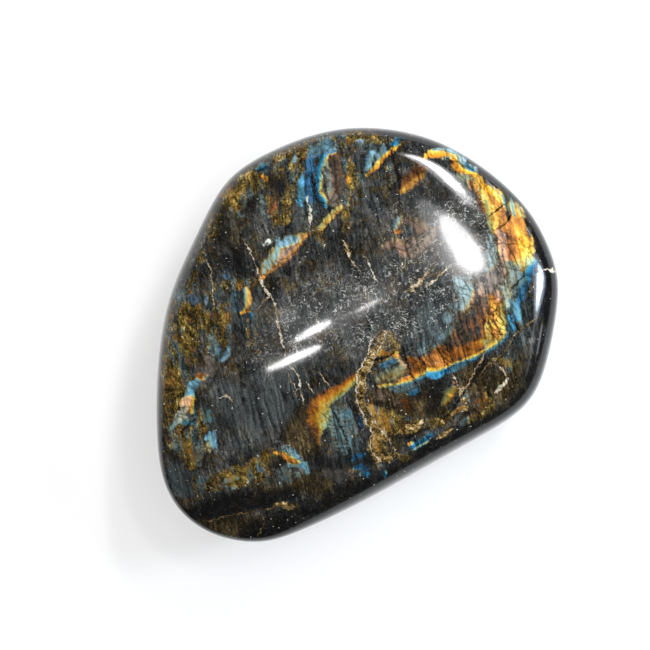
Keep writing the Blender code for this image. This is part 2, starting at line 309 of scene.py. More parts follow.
LOWER_BAND = [
    Flash([(20.2, 10.6, 1.0), (22.0, 9.4, 1.7), (22.4, 7.4, 1.6), (20.8, 5.8, 1.0)],
          CYAN, CYAN, 0.95, 0.6, 1.9, 0.9),
    Flash([(20.6, 6.8, 0.6), (19.0, 4.6, 1.1), (17.8, 3.0, 0.9)], CYAN, CYAN, 0.46, 0.6, 2.4, 0.75),
    Flash([(18.6, 1.2, 0.5), (17.4, 0.0, 1.0), (16.6, -1.0, 0.6)], CYAN, CYAN, 0.36, 0.5, 1.6, 0.75),
    Flash([(12.6, -3.4, 0.5), (13.8, -2.6, 0.9), (15.4, -2.2, 0.5)], CYAN, CYAN, 0.5, 0.45, 1.5, 0.85),
    Flash([(25.0, 10.0, 0.8), (24.6, 8.0, 1.2), (24.6, 6.0, 1.2)], RUST, RUST, 0.9, 0.6, 2.2, 0.85),
    Flash([(24.4, 7.0, 0.8), (23.8, 5.0, 1.4), (22.8, 2.4, 1.8), (21.4, 0.0, 1.9), (19.6, -2.0, 1.3)],
          BROWN, BROWN, 0.54, 0.08, 3.0, 0.68),
    Flash([(24.0, 6.0, 0.25), (24.6, 3.2, 0.4), (25.2, 0.4, 0.4)], RUST, RUST, 0.45, 0.1, 1.3),
    Flash([(22.6, 2.6, 0.2), (23.2, 0.6, 0.35), (23.6, -0.8, 0.4)], RUST, RUST, 0.45, 0.1, 1.4),
    Flash([(27.9, 7.4, 1.2), (27.6, 4.0, 2.0), (27.3, 1.6, 2.0), (26.8, -0.6, 1.4)],
          AMBER, RUST, 0.52, 0.1, 1.6),
    Flash([(26.6, -1.2, 0.7), (24.6, -1.8, 1.1), (22.4, -2.8, 1.2), (20.2, -3.6, 1.3), (18.4, -4.0, 1.7),
           (16.8, -4.4, 1.9), (15.2, -5.0, 1.7), (13.9, -5.6, 1.3), (12.4, -6.6, 1.0), (11.2, -7.6, 0.6)],
          ORANGE, RUST, 0.42, 0.0, 1.2),
    Flash([(13.8, -5.0, 0.8), (15.2, -5.2, 1.3), (16.6, -5.8, 0.9)], ORANGE, ORANGE, 0.78, 0.06, 1.4),
    Flash([(23.6, -1.9, 0.4), (24.6, -1.6, 0.5), (25.3, -1.9, 0.4)], AMBER, ORANGE, 0.6, 0.0, 1.1),
    Flash([(25.2, -1.0, 0.4), (26.4, -1.6, 0.8), (27.8, -1.2, 0.5)], YELLOW, YELLOW, 0.4, 0.0, 1.2),
    Flash([(26.5, 8.0, 0.3), (26.8, 6.6, 0.6), (27.5, 5.2, 0.4)], AMBER, AMBER, 0.8, 0.05, 0.8),
    Flash([(27.9, 8.6, 0.4), (28.6, 7.4, 0.5)], RUST, RUST, 1.5, 0.4, 1.0),
    Flash([(25.3, 5.0, 0.35), (25.8, 4.0, 0.4)], ORANGE, ORANGE, 0.9, 0.15, 0.8),
    Flash([(26.2, 3.8, 0.3), (26.7, 2.5, 0.5), (27.2, 1.2, 0.3)], YELLOW, YELLOW, 0.85, 0.1, 0.7),
    Flash([(27.5, 4.5, 0.3), (27.9, 3.6, 0.55), (28.1, 2.9, 0.4)], AMBER, ORANGE, 0.85, 0.08, 0.7),
    Flash([(28.7, 6.0, 0.3), (29.1, 4.0, 0.5), (29.7, 2.2, 0.4)], LIME, YELLOW, 0.62, 0.05, 0.8),
    Flash([(25.6, 2.2, 0.3), (26.1, 1.0, 0.55), (26.6, -0.4, 0.4)], YELLOW, LIME, 1.15, 0.1, 0.9),
    Flash([(27.1, 1.6, 0.4), (27.6, 0.6, 0.5), (28.2, -0.2, 0.3)], AMBER, ORANGE, 0.85, 0.08, 0.7),
    Flash([(28.4, 3.0, 0.35), (28.9, 1.9, 0.5), (29.2, 0.9, 0.3)], YELLOW, YELLOW, 0.92, 0.0, 0.7),
    Flash([(4.4, -8.6, 0.8), (6.6, -8.0, 1.2), (8.8, -7.2, 1.3), (9.2, -5.8, 0.7)],
          LIME, YELLOW, 0.36, 0.3, 1.6, 0.85),
    Flash([(10.0, -4.8, 0.5), (11.2, -5.4, 0.9), (12.2, -6.4, 0.8)], AMBER, BROWN, 0.45, 0.0, 1.2),
    Flash([(8.8, -5.2, 0.4), (9.8, -6.2, 0.4)], ORANGE, ORANGE, 0.75, 0.5, 1.0),
    Flash([(8.4, -9.2, 0.3), (9.8, -8.7, 0.5), (11.2, -8.3, 0.4)], ORANGE, ORANGE, 0.95, 0.05, 0.9),
    Flash([(11.6, -8.0, 0.3), (12.6, -7.5, 0.4)], ORANGE, RUST, 0.7, 0.0, 0.9),
    Flash([(29.8, 0.8, 0.2), (28.6, -0.8, 0.25), (26.8, -2.2, 0.3), (24.4, -3.7, 0.3), (21.6, -4.9, 0.3),
           (18.6, -6.0, 0.3), (17.0, -6.8, 0.4), (15.6, -7.1, 0.6), (14.0, -7.1, 0.5), (12.6, -8.0, 0.3),
           (11.2, -8.9, 0.35), (9.4, -9.5, 0.35), (7.2, -10.0, 0.3), (4.6, -10.1, 0.3)],
          LIME, AMBER, 0.8, 0.0, 0.7),
    Flash([(30.3, 0.2, 0.2), (28.9, -1.6, 0.25), (26.9, -2.9, 0.25), (24.6, -4.3, 0.3), (21.8, -5.5, 0.3),
           (18.8, -6.6, 0.25), (17.0, -7.4, 0.2), (15.2, -7.8, 0.2), (12.8, -8.7, 0.3), (11.0, -9.6, 0.3),
           (9.0, -10.2, 0.3), (7.0, -10.7, 0.25)], BLUE, CYAN, 0.6, 0.05, 0.8),
    Flash([(14.4, -7.8, 0.3), (15.7, -8.1, 0.75), (17.0, -7.9, 0.45)], SKY, SKY, 1.25, 0.0, 0.8),
    Flash([(17.0, -7.4, 0.35), (18.2, -7.2, 0.5), (19.2, -7.0, 0.3)], BLUE, SKY, 0.8, 0.0, 0.9),
    Flash([(18.8, -6.7, 0.3), (20.2, -6.3, 0.65), (21.6, -5.7, 0.45)], SKY, CYAN, 0.3, 0.15, 1.2),
    Flash([(6.8, -10.8, 0.4), (8.6, -10.9, 0.7), (10.6, -10.3, 0.7), (12.4, -9.7, 0.4)],
          CYAN, CYAN, 0.28, 0.4, 1.4, 0.65),
    Flash([(10.4, -11.9, 0.3), (11.4, -11.5, 0.4), (12.2, -11.0, 0.25)], SKY, SKY, 0.34),
    Flash([(4.8, -6.2, 0.3), (6.2, -5.7, 0.5), (7.8, -5.2, 0.3)], SKY, BLUE, 0.5, 0.15, 1.0),
    Flash([(4.6, -3.6, 0.5), (6.4, -3.8, 0.5), (7.8, -3.6, 0.4)], AMBER, AMBER, 0.4, 0.05, 1.2),
    Flash([(7.8, -4.1, 0.25), (8.3, -4.2, 0.25)], ORANGE, ORANGE, 0.8, 0.1),
    Flash([(17.2, -13.8, 0.3), (18.0, -12.6, 0.6), (18.8, -11.4, 0.9), (19.7, -10.6, 0.4)],
          LIME, AMBER, 0.24, 0.0, 1.3),
    Flash([(18.4, -11.5, 0.12), (19.0, -12.4, 0.12)], AMBER, AMBER, 0.9, 0.1, 0.8),
    Flash([(19.3, -8.9, 0.12), (19.9, -10.3, 0.2)], ORANGE, ORANGE, 0.9, 0.1, 0.8),
    Flash([(25.7, -11.5, 0.15), (25.8, -12.6, 0.25), (26.0, -13.6, 0.15)], AMBER, AMBER, 0.5, 0.2),
    Flash([(28.4, -4.8, 0.5), (29.4, -5.6, 0.8), (30.4, -6.0, 0.4)], YELLOW, AMBER, 0.22, 0.1, 1.4, 0.85),
    # A painted glint: a small pinkish-white highlight on the lower right, drawn as a pale flash.
    Flash([(27.6, -11.6, 0.12), (28.6, -10.6, 0.35), (29.6, -9.6, 0.2), (30.2, -8.6, 0.1)],
          LIME, ORANGE, 0.95, 0.85, 0.9),
    Flash([(3.4, -12.0, 1.0), (5.4, -12.8, 1.5), (7.4, -13.2, 1.0)], BROWN, BROWN, 0.45, 0.3, 2.4, 0.6),
    Flash([(9.4, -13.2, 0.8), (10.4, -14.8, 1.4), (12.2, -15.8, 0.8)], BROWN, BROWN, 0.22, 0.0, 2.2, 0.8),
    Flash([(23.0, -13.8, 0.4), (24.4, -13.2, 0.8), (25.2, -12.4, 0.4)], BROWN, AMBER, 0.2, 0.0, 1.8, 0.8),
    Flash([(2.4, -13.0, 0.4), (3.3, -16.0, 0.6), (4.8, -18.8, 0.5)], AMBER, AMBER, 0.40, 0.05, 1.8, 0.75),
    Flash([(4.6, -14.6, 0.3), (5.5, -16.8, 0.6), (7.0, -19.2, 0.5)], AMBER, ORANGE, 0.36, 0.05, 1.8, 0.75),
    Flash([(7.2, -15.8, 0.3), (8.0, -17.4, 0.5), (9.4, -19.0, 0.4)], AMBER, AMBER, 0.34, 0.1, 1.6, 0.7),
    Flash([(3.8, -20.4, 0.4), (4.0, -22.2, 0.7), (5.0, -23.8, 0.5)], AMBER, AMBER, 0.36, 0.1, 1.4, 0.7),
    Flash([(19.0, -15.6, 0.3), (20.8, -14.6, 0.6), (21.4, -13.2, 0.4)], AMBER, AMBER, 0.32, 0.15, 1.4, 0.7),
    Flash([(23.6, -14.8, 0.5), (25.4, -14.0, 0.8), (26.6, -12.8, 0.4)], AMBER, BROWN, 0.16, 0.05, 1.8, 0.7),
]
LEFT_OF_BAND = [
    Flash([(-5.4, -14.6, 0.15), (-5.0, -18.0, 0.35), (-4.3, -21.4, 0.3), (-3.6, -23.2, 0.15)],
          CYAN, LIME, 0.5, 0.3, 1.5),
    Flash([(-4.4, -13.8, 0.15), (-3.7, -17.6, 0.4), (-2.9, -21.2, 0.35), (-2.3, -23.8, 0.15)],
          CYAN, CYAN, 0.48, 0.4, 1.5),
    Flash([(-3.3, -15.6, 0.15), (-2.4, -18.8, 0.35), (-1.6, -22.4, 0.2)], CYAN, LIME, 0.42, 0.4, 1.5),
    Flash([(-2.4, -14.6, 0.15), (-1.6, -17.2, 0.3), (-0.9, -20.4, 0.2)], CYAN, CYAN, 0.45, 0.3, 1.5),
    Flash([(-1.2, -15.2, 0.15), (-0.6, -17.4, 0.3), (-0.1, -19.6, 0.15)], CYAN, LIME, 0.35, 0.4, 1.5),
    Flash([(0.4, -16.2, 0.3), (1.2, -18.4, 0.3)], BLUE, BLUE, 0.8),
    Flash([(0.3, -7.8, 0.4), (-1.2, -9.2, 0.9), (-3.0, -10.8, 1.1), (-5.0, -12.0, 1.3), (-7.0, -13.6, 1.8),
           (-8.0, -15.3, 1.9), (-8.3, -17.0, 1.5), (-8.2, -18.8, 1.0), (-7.9, -20.5, 0.6),
           (-7.7, -21.8, 0.3)],
          LIME, RUST, 0.5),
    Flash([(-8.8, -15.6, 0.5), (-8.6, -17.4, 0.6), (-8.2, -19.0, 0.4)], AMBER, ORANGE, 0.24, 0.0, 1.4),
    Flash([(-8.3, -18.8, 0.8), (-8.0, -20.6, 0.5), (-7.7, -22.0, 0.3)], AMBER, BROWN, 0.16, 0.1, 1.4),
    Flash([(-5.6, -14.2, 0.2), (-5.6, -15.6, 0.5), (-6.4, -17.4, 0.5), (-7.0, -19.2, 0.25)],
          LIME, YELLOW, 0.75),
    Flash([(-0.8, -24.9, 0.3), (0.2, -24.2, 0.5), (1.4, -24.0, 0.3)], BLUE, BLUE, 0.75),
    Flash([(-0.6, -26.6, 0.3), (1.0, -26.3, 0.6), (2.2, -26.6, 0.4)], BLUE, BLUE, 0.9),
    Flash([(0.8, -27.6, 0.3), (1.8, -27.8, 0.5), (2.4, -28.2, 0.3)], SKY, BLUE, 1.0),
    Flash([(5.4, -27.4, 0.3), (5.7, -28.2, 0.35)], BLUE, SKY, 0.8),
    Flash([(-6.4, -28.0, 0.5), (-4.0, -27.6, 0.9), (-1.6, -28.0, 0.7)], BROWN, BROWN, 0.17, 0.55, 1.9),
    Flash([(10.6, -22.7, 0.25), (11.8, -21.9, 0.6), (13.3, -21.0, 0.6), (14.4, -20.3, 0.45),
           (15.6, -19.7, 0.2)],
          SKY, BLUE),
    Flash([(11.1, -23.0, 0.1), (12.8, -22.1, 0.15), (14.4, -21.1, 0.15)], LIME, YELLOW, 0.8),
    Flash([(10.35, -21.8, 0.3), (10.75, -21.7, 0.3)], AMBER, ORANGE, 1.3),
    Flash([(-27.6, -30.0, 0.5), (-25.4, -29.0, 0.8), (-23.2, -28.0, 0.9), (-21.6, -26.4, 0.8),
           (-20.2, -25.2, 0.6),
           (-18.0, -24.4, 0.4), (-15.8, -23.5, 0.3)], AMBER, YELLOW, 0.26, 0.1, 1.8, 0.7),
    Flash([(-28.4, -30.6, 0.3), (-27.0, -29.6, 0.7), (-25.8, -29.0, 0.4)], LIME, LIME, 0.3, 0.7, 1.6, 0.8),
    Flash([(-36.8, -26.6, 0.9), (-35.0, -29.4, 1.6), (-32.2, -31.8, 0.9)], CYAN, CYAN, 0.15, 0.7, 2.6, 0.8),
    Flash([(-35.6, -20.6, 0.7), (-33.4, -22.6, 1.4), (-31.4, -24.8, 1.0)],
          YELLOW, AMBER, 0.16, 0.1, 2.4, 0.6),
    Flash([(-16.1, -23.5, 0.3), (-14.8, -23.9, 0.3), (-13.7, -24.6, 0.45), (-12.6, -25.1, 0.5),
           (-11.9, -25.5, 0.3)],
          AMBER, ORANGE, 1.05),
    Flash([(-14.4, -22.8, 0.3), (-13.4, -23.2, 0.6), (-12.5, -23.9, 0.6), (-11.6, -24.8, 0.35)],
          SKY, CYAN, 1.05, 0.3),
    Flash([(-15.0, -22.5, 0.2), (-13.9, -22.1, 0.2)], CYAN, CYAN, 0.7, 0.7),
    Flash([(-13.9, -25.9, 0.3), (-12.6, -26.1, 0.3), (-11.3, -26.1, 0.5), (-10.3, -25.9, 0.4),
           (-9.9, -27.4, 0.4)], CYAN, CYAN, 0.65, 0.2),
    Flash([(-12.1, -27.4, 0.3), (-11.9, -28.2, 0.35)], CYAN, CYAN, 0.6),
    Flash([(-15.4, -28.0, 0.4), (-14.2, -28.6, 0.5)], CYAN, CYAN, 0.25, 0.5, 1.5),
    Flash([(-24.4, -28.4, 0.2), (-23.8, -28.8, 0.25)], CYAN, CYAN, 0.9, 0.2),
    Flash([(-26.9, -30.3, 0.3), (-26.2, -30.5, 0.35)], CYAN, SKY, 0.7, 0.2),
    Flash([(-24.9, -30.6, 0.2), (-24.5, -30.5, 0.3)], CYAN, CYAN, 0.7, 0.1),
    Flash([(-19.6, -25.6, 0.3), (-19.3, -26.8, 0.35)], BLUE, SKY, 0.6, 0.3, 1.4),
]
TOP_PATCHES = [
    Flash([(-8.8, 36.4, 1.0), (-7.0, 37.6, 0.8), (-5.6, 38.6, 0.9)], CYAN, SKY, 0.4, 0.3),
    Flash([(-10.6, 32.4, 0.3), (-11.0, 30.6, 0.7), (-11.1, 29.0, 0.8), (-11.1, 27.6, 0.9),
           (-11.3, 26.4, 0.6)],
          SKY, SKY, 1.6, 0.1),
    Flash([(-9.2, 35.0, 0.7), (-9.4, 32.0, 0.8), (-9.5, 29.0, 0.8), (-9.2, 27.2, 0.7)],
          BLUE, BLUE, 1.1, 0.03),
    Flash([(-4.4, 35.2, 0.8), (-4.2, 31.5, 1.3), (-4.0, 28.4, 1.0)], BROWN, BROWN, 0.45, 0.15, 1.6, 0.85),
    Flash([(-5.4, 33.0, 0.3), (-5.3, 30.0, 0.5), (-4.6, 27.0, 0.7), (-4.4, 26.0, 0.4)],
          RUST, BLUE, 0.5, 0.7, 1.3),
    Flash([(-6.8, 35.8, 0.5), (-7.5, 33.4, 0.6), (-7.8, 30.8, 0.6), (-7.5, 28.2, 0.7), (-6.6, 26.4, 0.9)],
          CYAN, BLUE, 0.95),
    Flash([(-6.3, 34.6, 0.2), (-5.7, 32.4, 0.35), (-5.5, 30.0, 0.35), (-5.3, 28.4, 0.2)],
          CYAN, CYAN, 0.4, 0.8, 1.3),
    Flash([(-5.6, 28.2, 0.3), (-5.0, 27.0, 0.6), (-4.4, 26.0, 0.4)], RUST, RUST, 0.45, 0.8, 1.4),
    Flash([(-7.3, 28.9, 0.25), (-6.9, 28.3, 0.3)], YELLOW, YELLOW, 1.1),
    Flash([(-6.5, 37.4, 0.4), (-5.2, 36.9, 0.7), (-4.3, 37.0, 0.4)], CYAN, SKY, 0.7, 0.3),
    Flash([(-6.0, 35.8, 0.1), (-6.7, 33.5, 0.1), (-7.1, 31.0, 0.1), (-7.2, 29.0, 0.25), (-6.7, 28.0, 0.25),
           (-5.9, 27.0, 0.15), (-5.8, 26.2, 0.1)], AMBER, YELLOW, 0.75),
    Flash([(-7.2, 21.4, 0.5), (-6.2, 22.8, 0.6), (-5.0, 24.0, 0.6), (-3.8, 25.2, 0.5), (-3.2, 25.8, 0.3)],
          LIME, AMBER, 0.72, 0.1),
    Flash([(-1.9, 30.4, 0.4), (-1.7, 31.6, 0.35)], ORANGE, AMBER, 0.7),
    Flash([(1.9, 33.2, 0.5), (2.4, 34.6, 0.7), (2.8, 36.4, 0.6)], SKY, CYAN, 1.0, 0.3),
    Flash([(4.6, 35.6, 0.5), (5.2, 37.0, 0.7), (5.4, 38.0, 0.4)], CYAN, SKY, 0.5, 0.4),
    Flash([(2.0, 32.0, 0.3), (3.4, 33.3, 0.4), (5.0, 35.2, 0.4), (6.8, 36.8, 0.4), (8.2, 37.9, 0.2)],
          YELLOW, ORANGE, 0.75),
    Flash([(-0.2, 38.6, 0.3), (1.4, 38.8, 0.3)], SKY, SKY, 0.7, 0.5),
    Flash([(7.0, 38.2, 0.4), (7.8, 38.4, 0.5)], SKY, SKY, 0.7),
    Flash([(8.0, 39.2, 0.4), (9.4, 39.2, 0.3)], CYAN, BLUE, 0.5),
    Flash([(9.2, 29.2, 0.6), (10.4, 30.8, 1.3), (11.8, 32.2, 1.6), (13.0, 33.4, 1.0)],
          RUST, AMBER, 0.22, 0.1, 1.4),
    Flash([(8.9, 28.6, 0.4), (10.0, 29.4, 0.6), (11.2, 30.4, 0.6), (12.4, 31.2, 0.5)],
          AMBER, AMBER, 0.52, 0.1, 1.3),
    Flash([(9.6, 22.8, 0.8), (11.6, 21.6, 1.5), (13.8, 21.0, 1.2)], AMBER, RUST, 0.28, 0.6, 1.8, 0.7),
    Flash([(9.2, 14.2, 0.3), (12.0, 16.6, 0.7), (14.2, 19.0, 0.8), (16.0, 21.6, 0.6)],
          AMBER, RUST, 0.36, 0.8, 1.5, 0.7),
    Flash([(10.4, 19.6, 0.7), (11.6, 18.2, 0.9), (10.6, 16.2, 0.7)], AMBER, RUST, 0.42, 0.75, 1.6, 0.75),
    Flash([(5.6, 17.6, 0.6), (7.2, 18.0, 1.4), (8.8, 17.6, 1.5), (9.6, 16.4, 0.9)],
          AMBER, RUST, 0.42, 0.6, 1.2, 0.85),
    Flash([(7.7, 21.4, 0.4), (8.6, 23.4, 0.5)], SKY, YELLOW, 0.7, 0.3),
    Flash([(7.8, 20.7, 0.4), (8.6, 20.6, 0.3)], ORANGE, ORANGE, 0.9),
    Flash([(-19.6, 33.2, 0.6), (-18.6, 33.6, 0.7)], CYAN, BLUE, 0.55),
    Flash([(-18.9, 31.8, 0.4), (-18.3, 31.2, 0.4)], AMBER, ORANGE, 0.8),
    Flash([(-12.4, 35.4, 0.4), (-12.7, 34.6, 0.3)], CYAN, CYAN, 0.7, 0.4),
    Flash([(-17.4, 24.6, 0.8), (-16.6, 26.2, 1.0), (-16.2, 27.8, 0.6)], BROWN, RUST, 0.55, 0.1, 1.6, 0.75),
]
LEFT_PATCHES = [
    Flash([(-19.4, 12.4, 0.6), (-17.6, 13.8, 1.4), (-15.4, 15.8, 2.0), (-13.2, 18.0, 2.0),
           (-11.2, 19.6, 0.8)],
          YELLOW, RUST, 0.4, 0.3),
    Flash([(-15.0, 18.2, 0.7), (-13.4, 18.8, 1.1), (-12.2, 19.2, 0.7)], SKY, CYAN, 1.15, 0.4, 0.8),
    Flash([(-16.0, 19.4, 0.4), (-15.7, 18.0, 0.4)], SKY, SKY, 1.0, 0.3, 0.8),
    Flash([(-18.6, 12.4, 0.35), (-18.1, 14.8, 0.35)], CYAN, CYAN, 0.9, 0.35, 0.7),
    Flash([(-17.6, 13.2, 0.3), (-17.1, 15.9, 0.45)], CYAN, CYAN, 1.0, 0.4, 0.7),
    Flash([(-16.4, 14.2, 0.3), (-15.9, 17.0, 0.5)], CYAN, CYAN, 1.0, 0.35, 0.7),
    Flash([(-15.2, 15.0, 0.6), (-14.0, 16.2, 1.1), (-12.8, 17.4, 0.6)], RUST, RUST, 0.85, 0.5, 0.9),
    Flash([(-19.4, 11.2, 0.25), (-17.5, 12.5, 0.2), (-15.5, 13.9, 0.2), (-13.5, 15.9, 0.25),
           (-12.0, 17.5, 0.25),
           (-10.5, 19.5, 0.3), (-9.4, 20.6, 0.2)], YELLOW, ORANGE, 0.6, 0.1, 0.9),
    Flash([(-19.2, 11.3, 0.3), (-18.7, 11.6, 0.3)], ORANGE, ORANGE, 1.1),
    Flash([(-18.6, 18.0, 0.15), (-18.0, 18.8, 0.2), (-17.0, 19.2, 0.15)], LIME, LIME, 1.2, 1.0, 0.8),
    Flash([(-17.9, 18.0, 0.12), (-17.2, 18.6, 0.15), (-16.4, 18.8, 0.12)], LIME, LIME, 1.2, 1.0, 0.8),
    Flash([(-31.7, -8.8, 0.5), (-32.8, -10.3, 0.9), (-33.6, -12.0, 0.8), (-35.0, -13.2, 0.4)],
          SKY, CYAN, 1.2, 0.2, 0.9),
    Flash([(-33.4, -12.8, 0.6), (-34.4, -13.8, 1.0), (-34.2, -14.8, 0.7)], ORANGE, ORANGE, 1.4, 0.5, 0.9),
    Flash([(-34.6, -14.8, 0.6), (-35.4, -16.2, 0.8), (-36.2, -17.5, 0.5)], LIME, LIME, 1.0, 0.8, 0.9),
    Flash([(-36.2, -17.2, 0.3), (-36.8, -18.2, 0.4), (-37.4, -19.0, 0.3)], CYAN, CYAN, 0.9, 0.3, 0.9),
    Flash([(-34.7, -15.6, 0.4), (-34.5, -16.4, 0.5)], LIME, LIME, 0.9, 0.7),
    Flash([(-34.4, -17.4, 0.6), (-33.2, -17.6, 0.5)], CYAN, CYAN, 0.5),
    Flash([(-32.7, -12.2, 0.2), (-33.2, -15.4, 0.4)], YELLOW, AMBER, 0.7),
    Flash([(-31.9, -8.0, 0.4), (-31.0, -8.4, 0.6)], RUST, RUST, 0.9),
    Flash([(-30.0, -7.8, 0.3), (-30.5, -8.8, 0.3)], CYAN, CYAN, 0.7, 0.3),
    Flash([(-30.1, -20.6, 0.4), (-29.0, -19.9, 0.7), (-28.8, -21.2, 0.7), (-28.3, -22.3, 0.4)],
          SKY, CYAN, 1.05, 0.25, 0.9),
    Flash([(-29.7, -21.8, 0.3), (-29.3, -23.0, 0.3)], LIME, YELLOW, 0.8, 0.5),
    Flash([(-29.6, -15.4, 0.5), (-29.8, -17.0, 0.6)], CYAN, CYAN, 0.4, 0.1),
    Flash([(-25.6, -2.4, 0.3), (-26.0, -3.8, 0.5), (-27.2, -5.0, 0.3)], CYAN, SKY, 0.65, 0.35, 1.3),
    Flash([(-27.7, -2.4, 0.4), (-27.5, -3.6, 0.5)], BLUE, CYAN, 0.4, 0.3, 1.6),
    Flash([(-29.6, -4.6, 0.6), (-28.6, -6.4, 0.9), (-30.0, -7.4, 0.6)], BROWN, BROWN, 0.35, 0.55, 1.8),
    Flash([(-20.2, 6.2, 0.3), (-19.8, 4.6, 0.5), (-20.4, 3.0, 0.3)], CYAN, CYAN, 0.3, 0.9, 1.5),
    Flash([(-26.0, 13.2, 0.15), (-26.0, 12.2, 0.3), (-26.4, 11.6, 0.3), (-25.7, 11.6, 0.3)],
          SKY, BLUE, 0.7, 0.2),
    Flash([(-24.3, 8.2, 0.6), (-24.5, 6.4, 0.9), (-24.1, 5.0, 0.5)], BLUE, CYAN, 0.45, 0.3, 1.8),
    Flash([(-22.2, 9.2, 0.4), (-21.9, 7.6, 0.7), (-22.0, 6.0, 0.6), (-22.3, 5.2, 0.4)],
          ORANGE, CYAN, 0.75, 0.15),
    Flash([(-23.2, 4.4, 0.3), (-21.8, 5.0, 0.3)], AMBER, ORANGE, 0.7),
    Flash([(-21.2, 4.2, 0.3), (-21.1, 3.4, 0.3)], SKY, BLUE, 0.7),
    Flash([(-30.1, 7.6, 0.3), (-30.5, 6.3, 0.3)], SKY, SKY, 0.6, 0.5),
    Flash([(-28.1, 8.4, 0.3), (-28.0, 7.4, 0.3)], CYAN, CYAN, 0.4, 0.2),
    Flash([(-36.2, 8.0, 0.5), (-35.2, 7.4, 0.5)], CYAN, CYAN, 0.4, 0.6, 1.6),
    Flash([(-33.8, 7.4, 0.5), (-32.6, 7.0, 0.8)], BLUE, BLUE, 0.5, 0.2, 1.8),
]
FACE_FLASHES = RIGHT_ARC + LOWER_BAND + LEFT_OF_BAND + TOP_PATCHES + LEFT_PATCHES
BACK_FLASHES = [
    Flash([(-24.0, -6.0, 0.6), (-18.0, 2.0, 2.2), (-9.0, 8.0, 2.8), (2.0, 11.0, 2.4), (12.0, 11.5, 1.0)],
          YELLOW, RUST, 0.75),
    Flash([(-22.0, -4.0, 0.4), (-16.5, 4.5, 1.0), (-8.0, 11.0, 1.2), (2.0, 14.0, 1.0), (11.0, 14.5, 0.5)],
          BLUE, CYAN, 0.7),
    Flash([(14.0, -8.0, 0.8), (19.0, -3.0, 2.2), (22.0, 4.0, 2.4), (21.0, 10.0, 1.0)], CYAN, BLUE, 0.55),
    Flash([(-4.0, -24.0, 0.4), (2.0, -18.0, 1.4), (6.0, -11.0, 0.8)], SKY, AMBER, 0.6),
    Flash([(-36.8, -4.0, 0.6), (-38.0, -10.0, 1.2), (-38.2, -16.0, 0.7)], SKY, BLUE, 0.5, 0.1, 2.0, 0.8),
    Flash([(27.0, 30.0, 0.6), (32.0, 25.0, 1.2), (36.0, 18.0, 0.7)], AMBER, ORANGE, 0.5, 0.0, 2.0, 0.8),
    Flash([(0.0, -32.6, 0.6), (6.0, -29.2, 1.0), (12.0, -26.0, 0.6)], CYAN, BLUE, 0.4, 0.1, 2.0, 0.8),
]

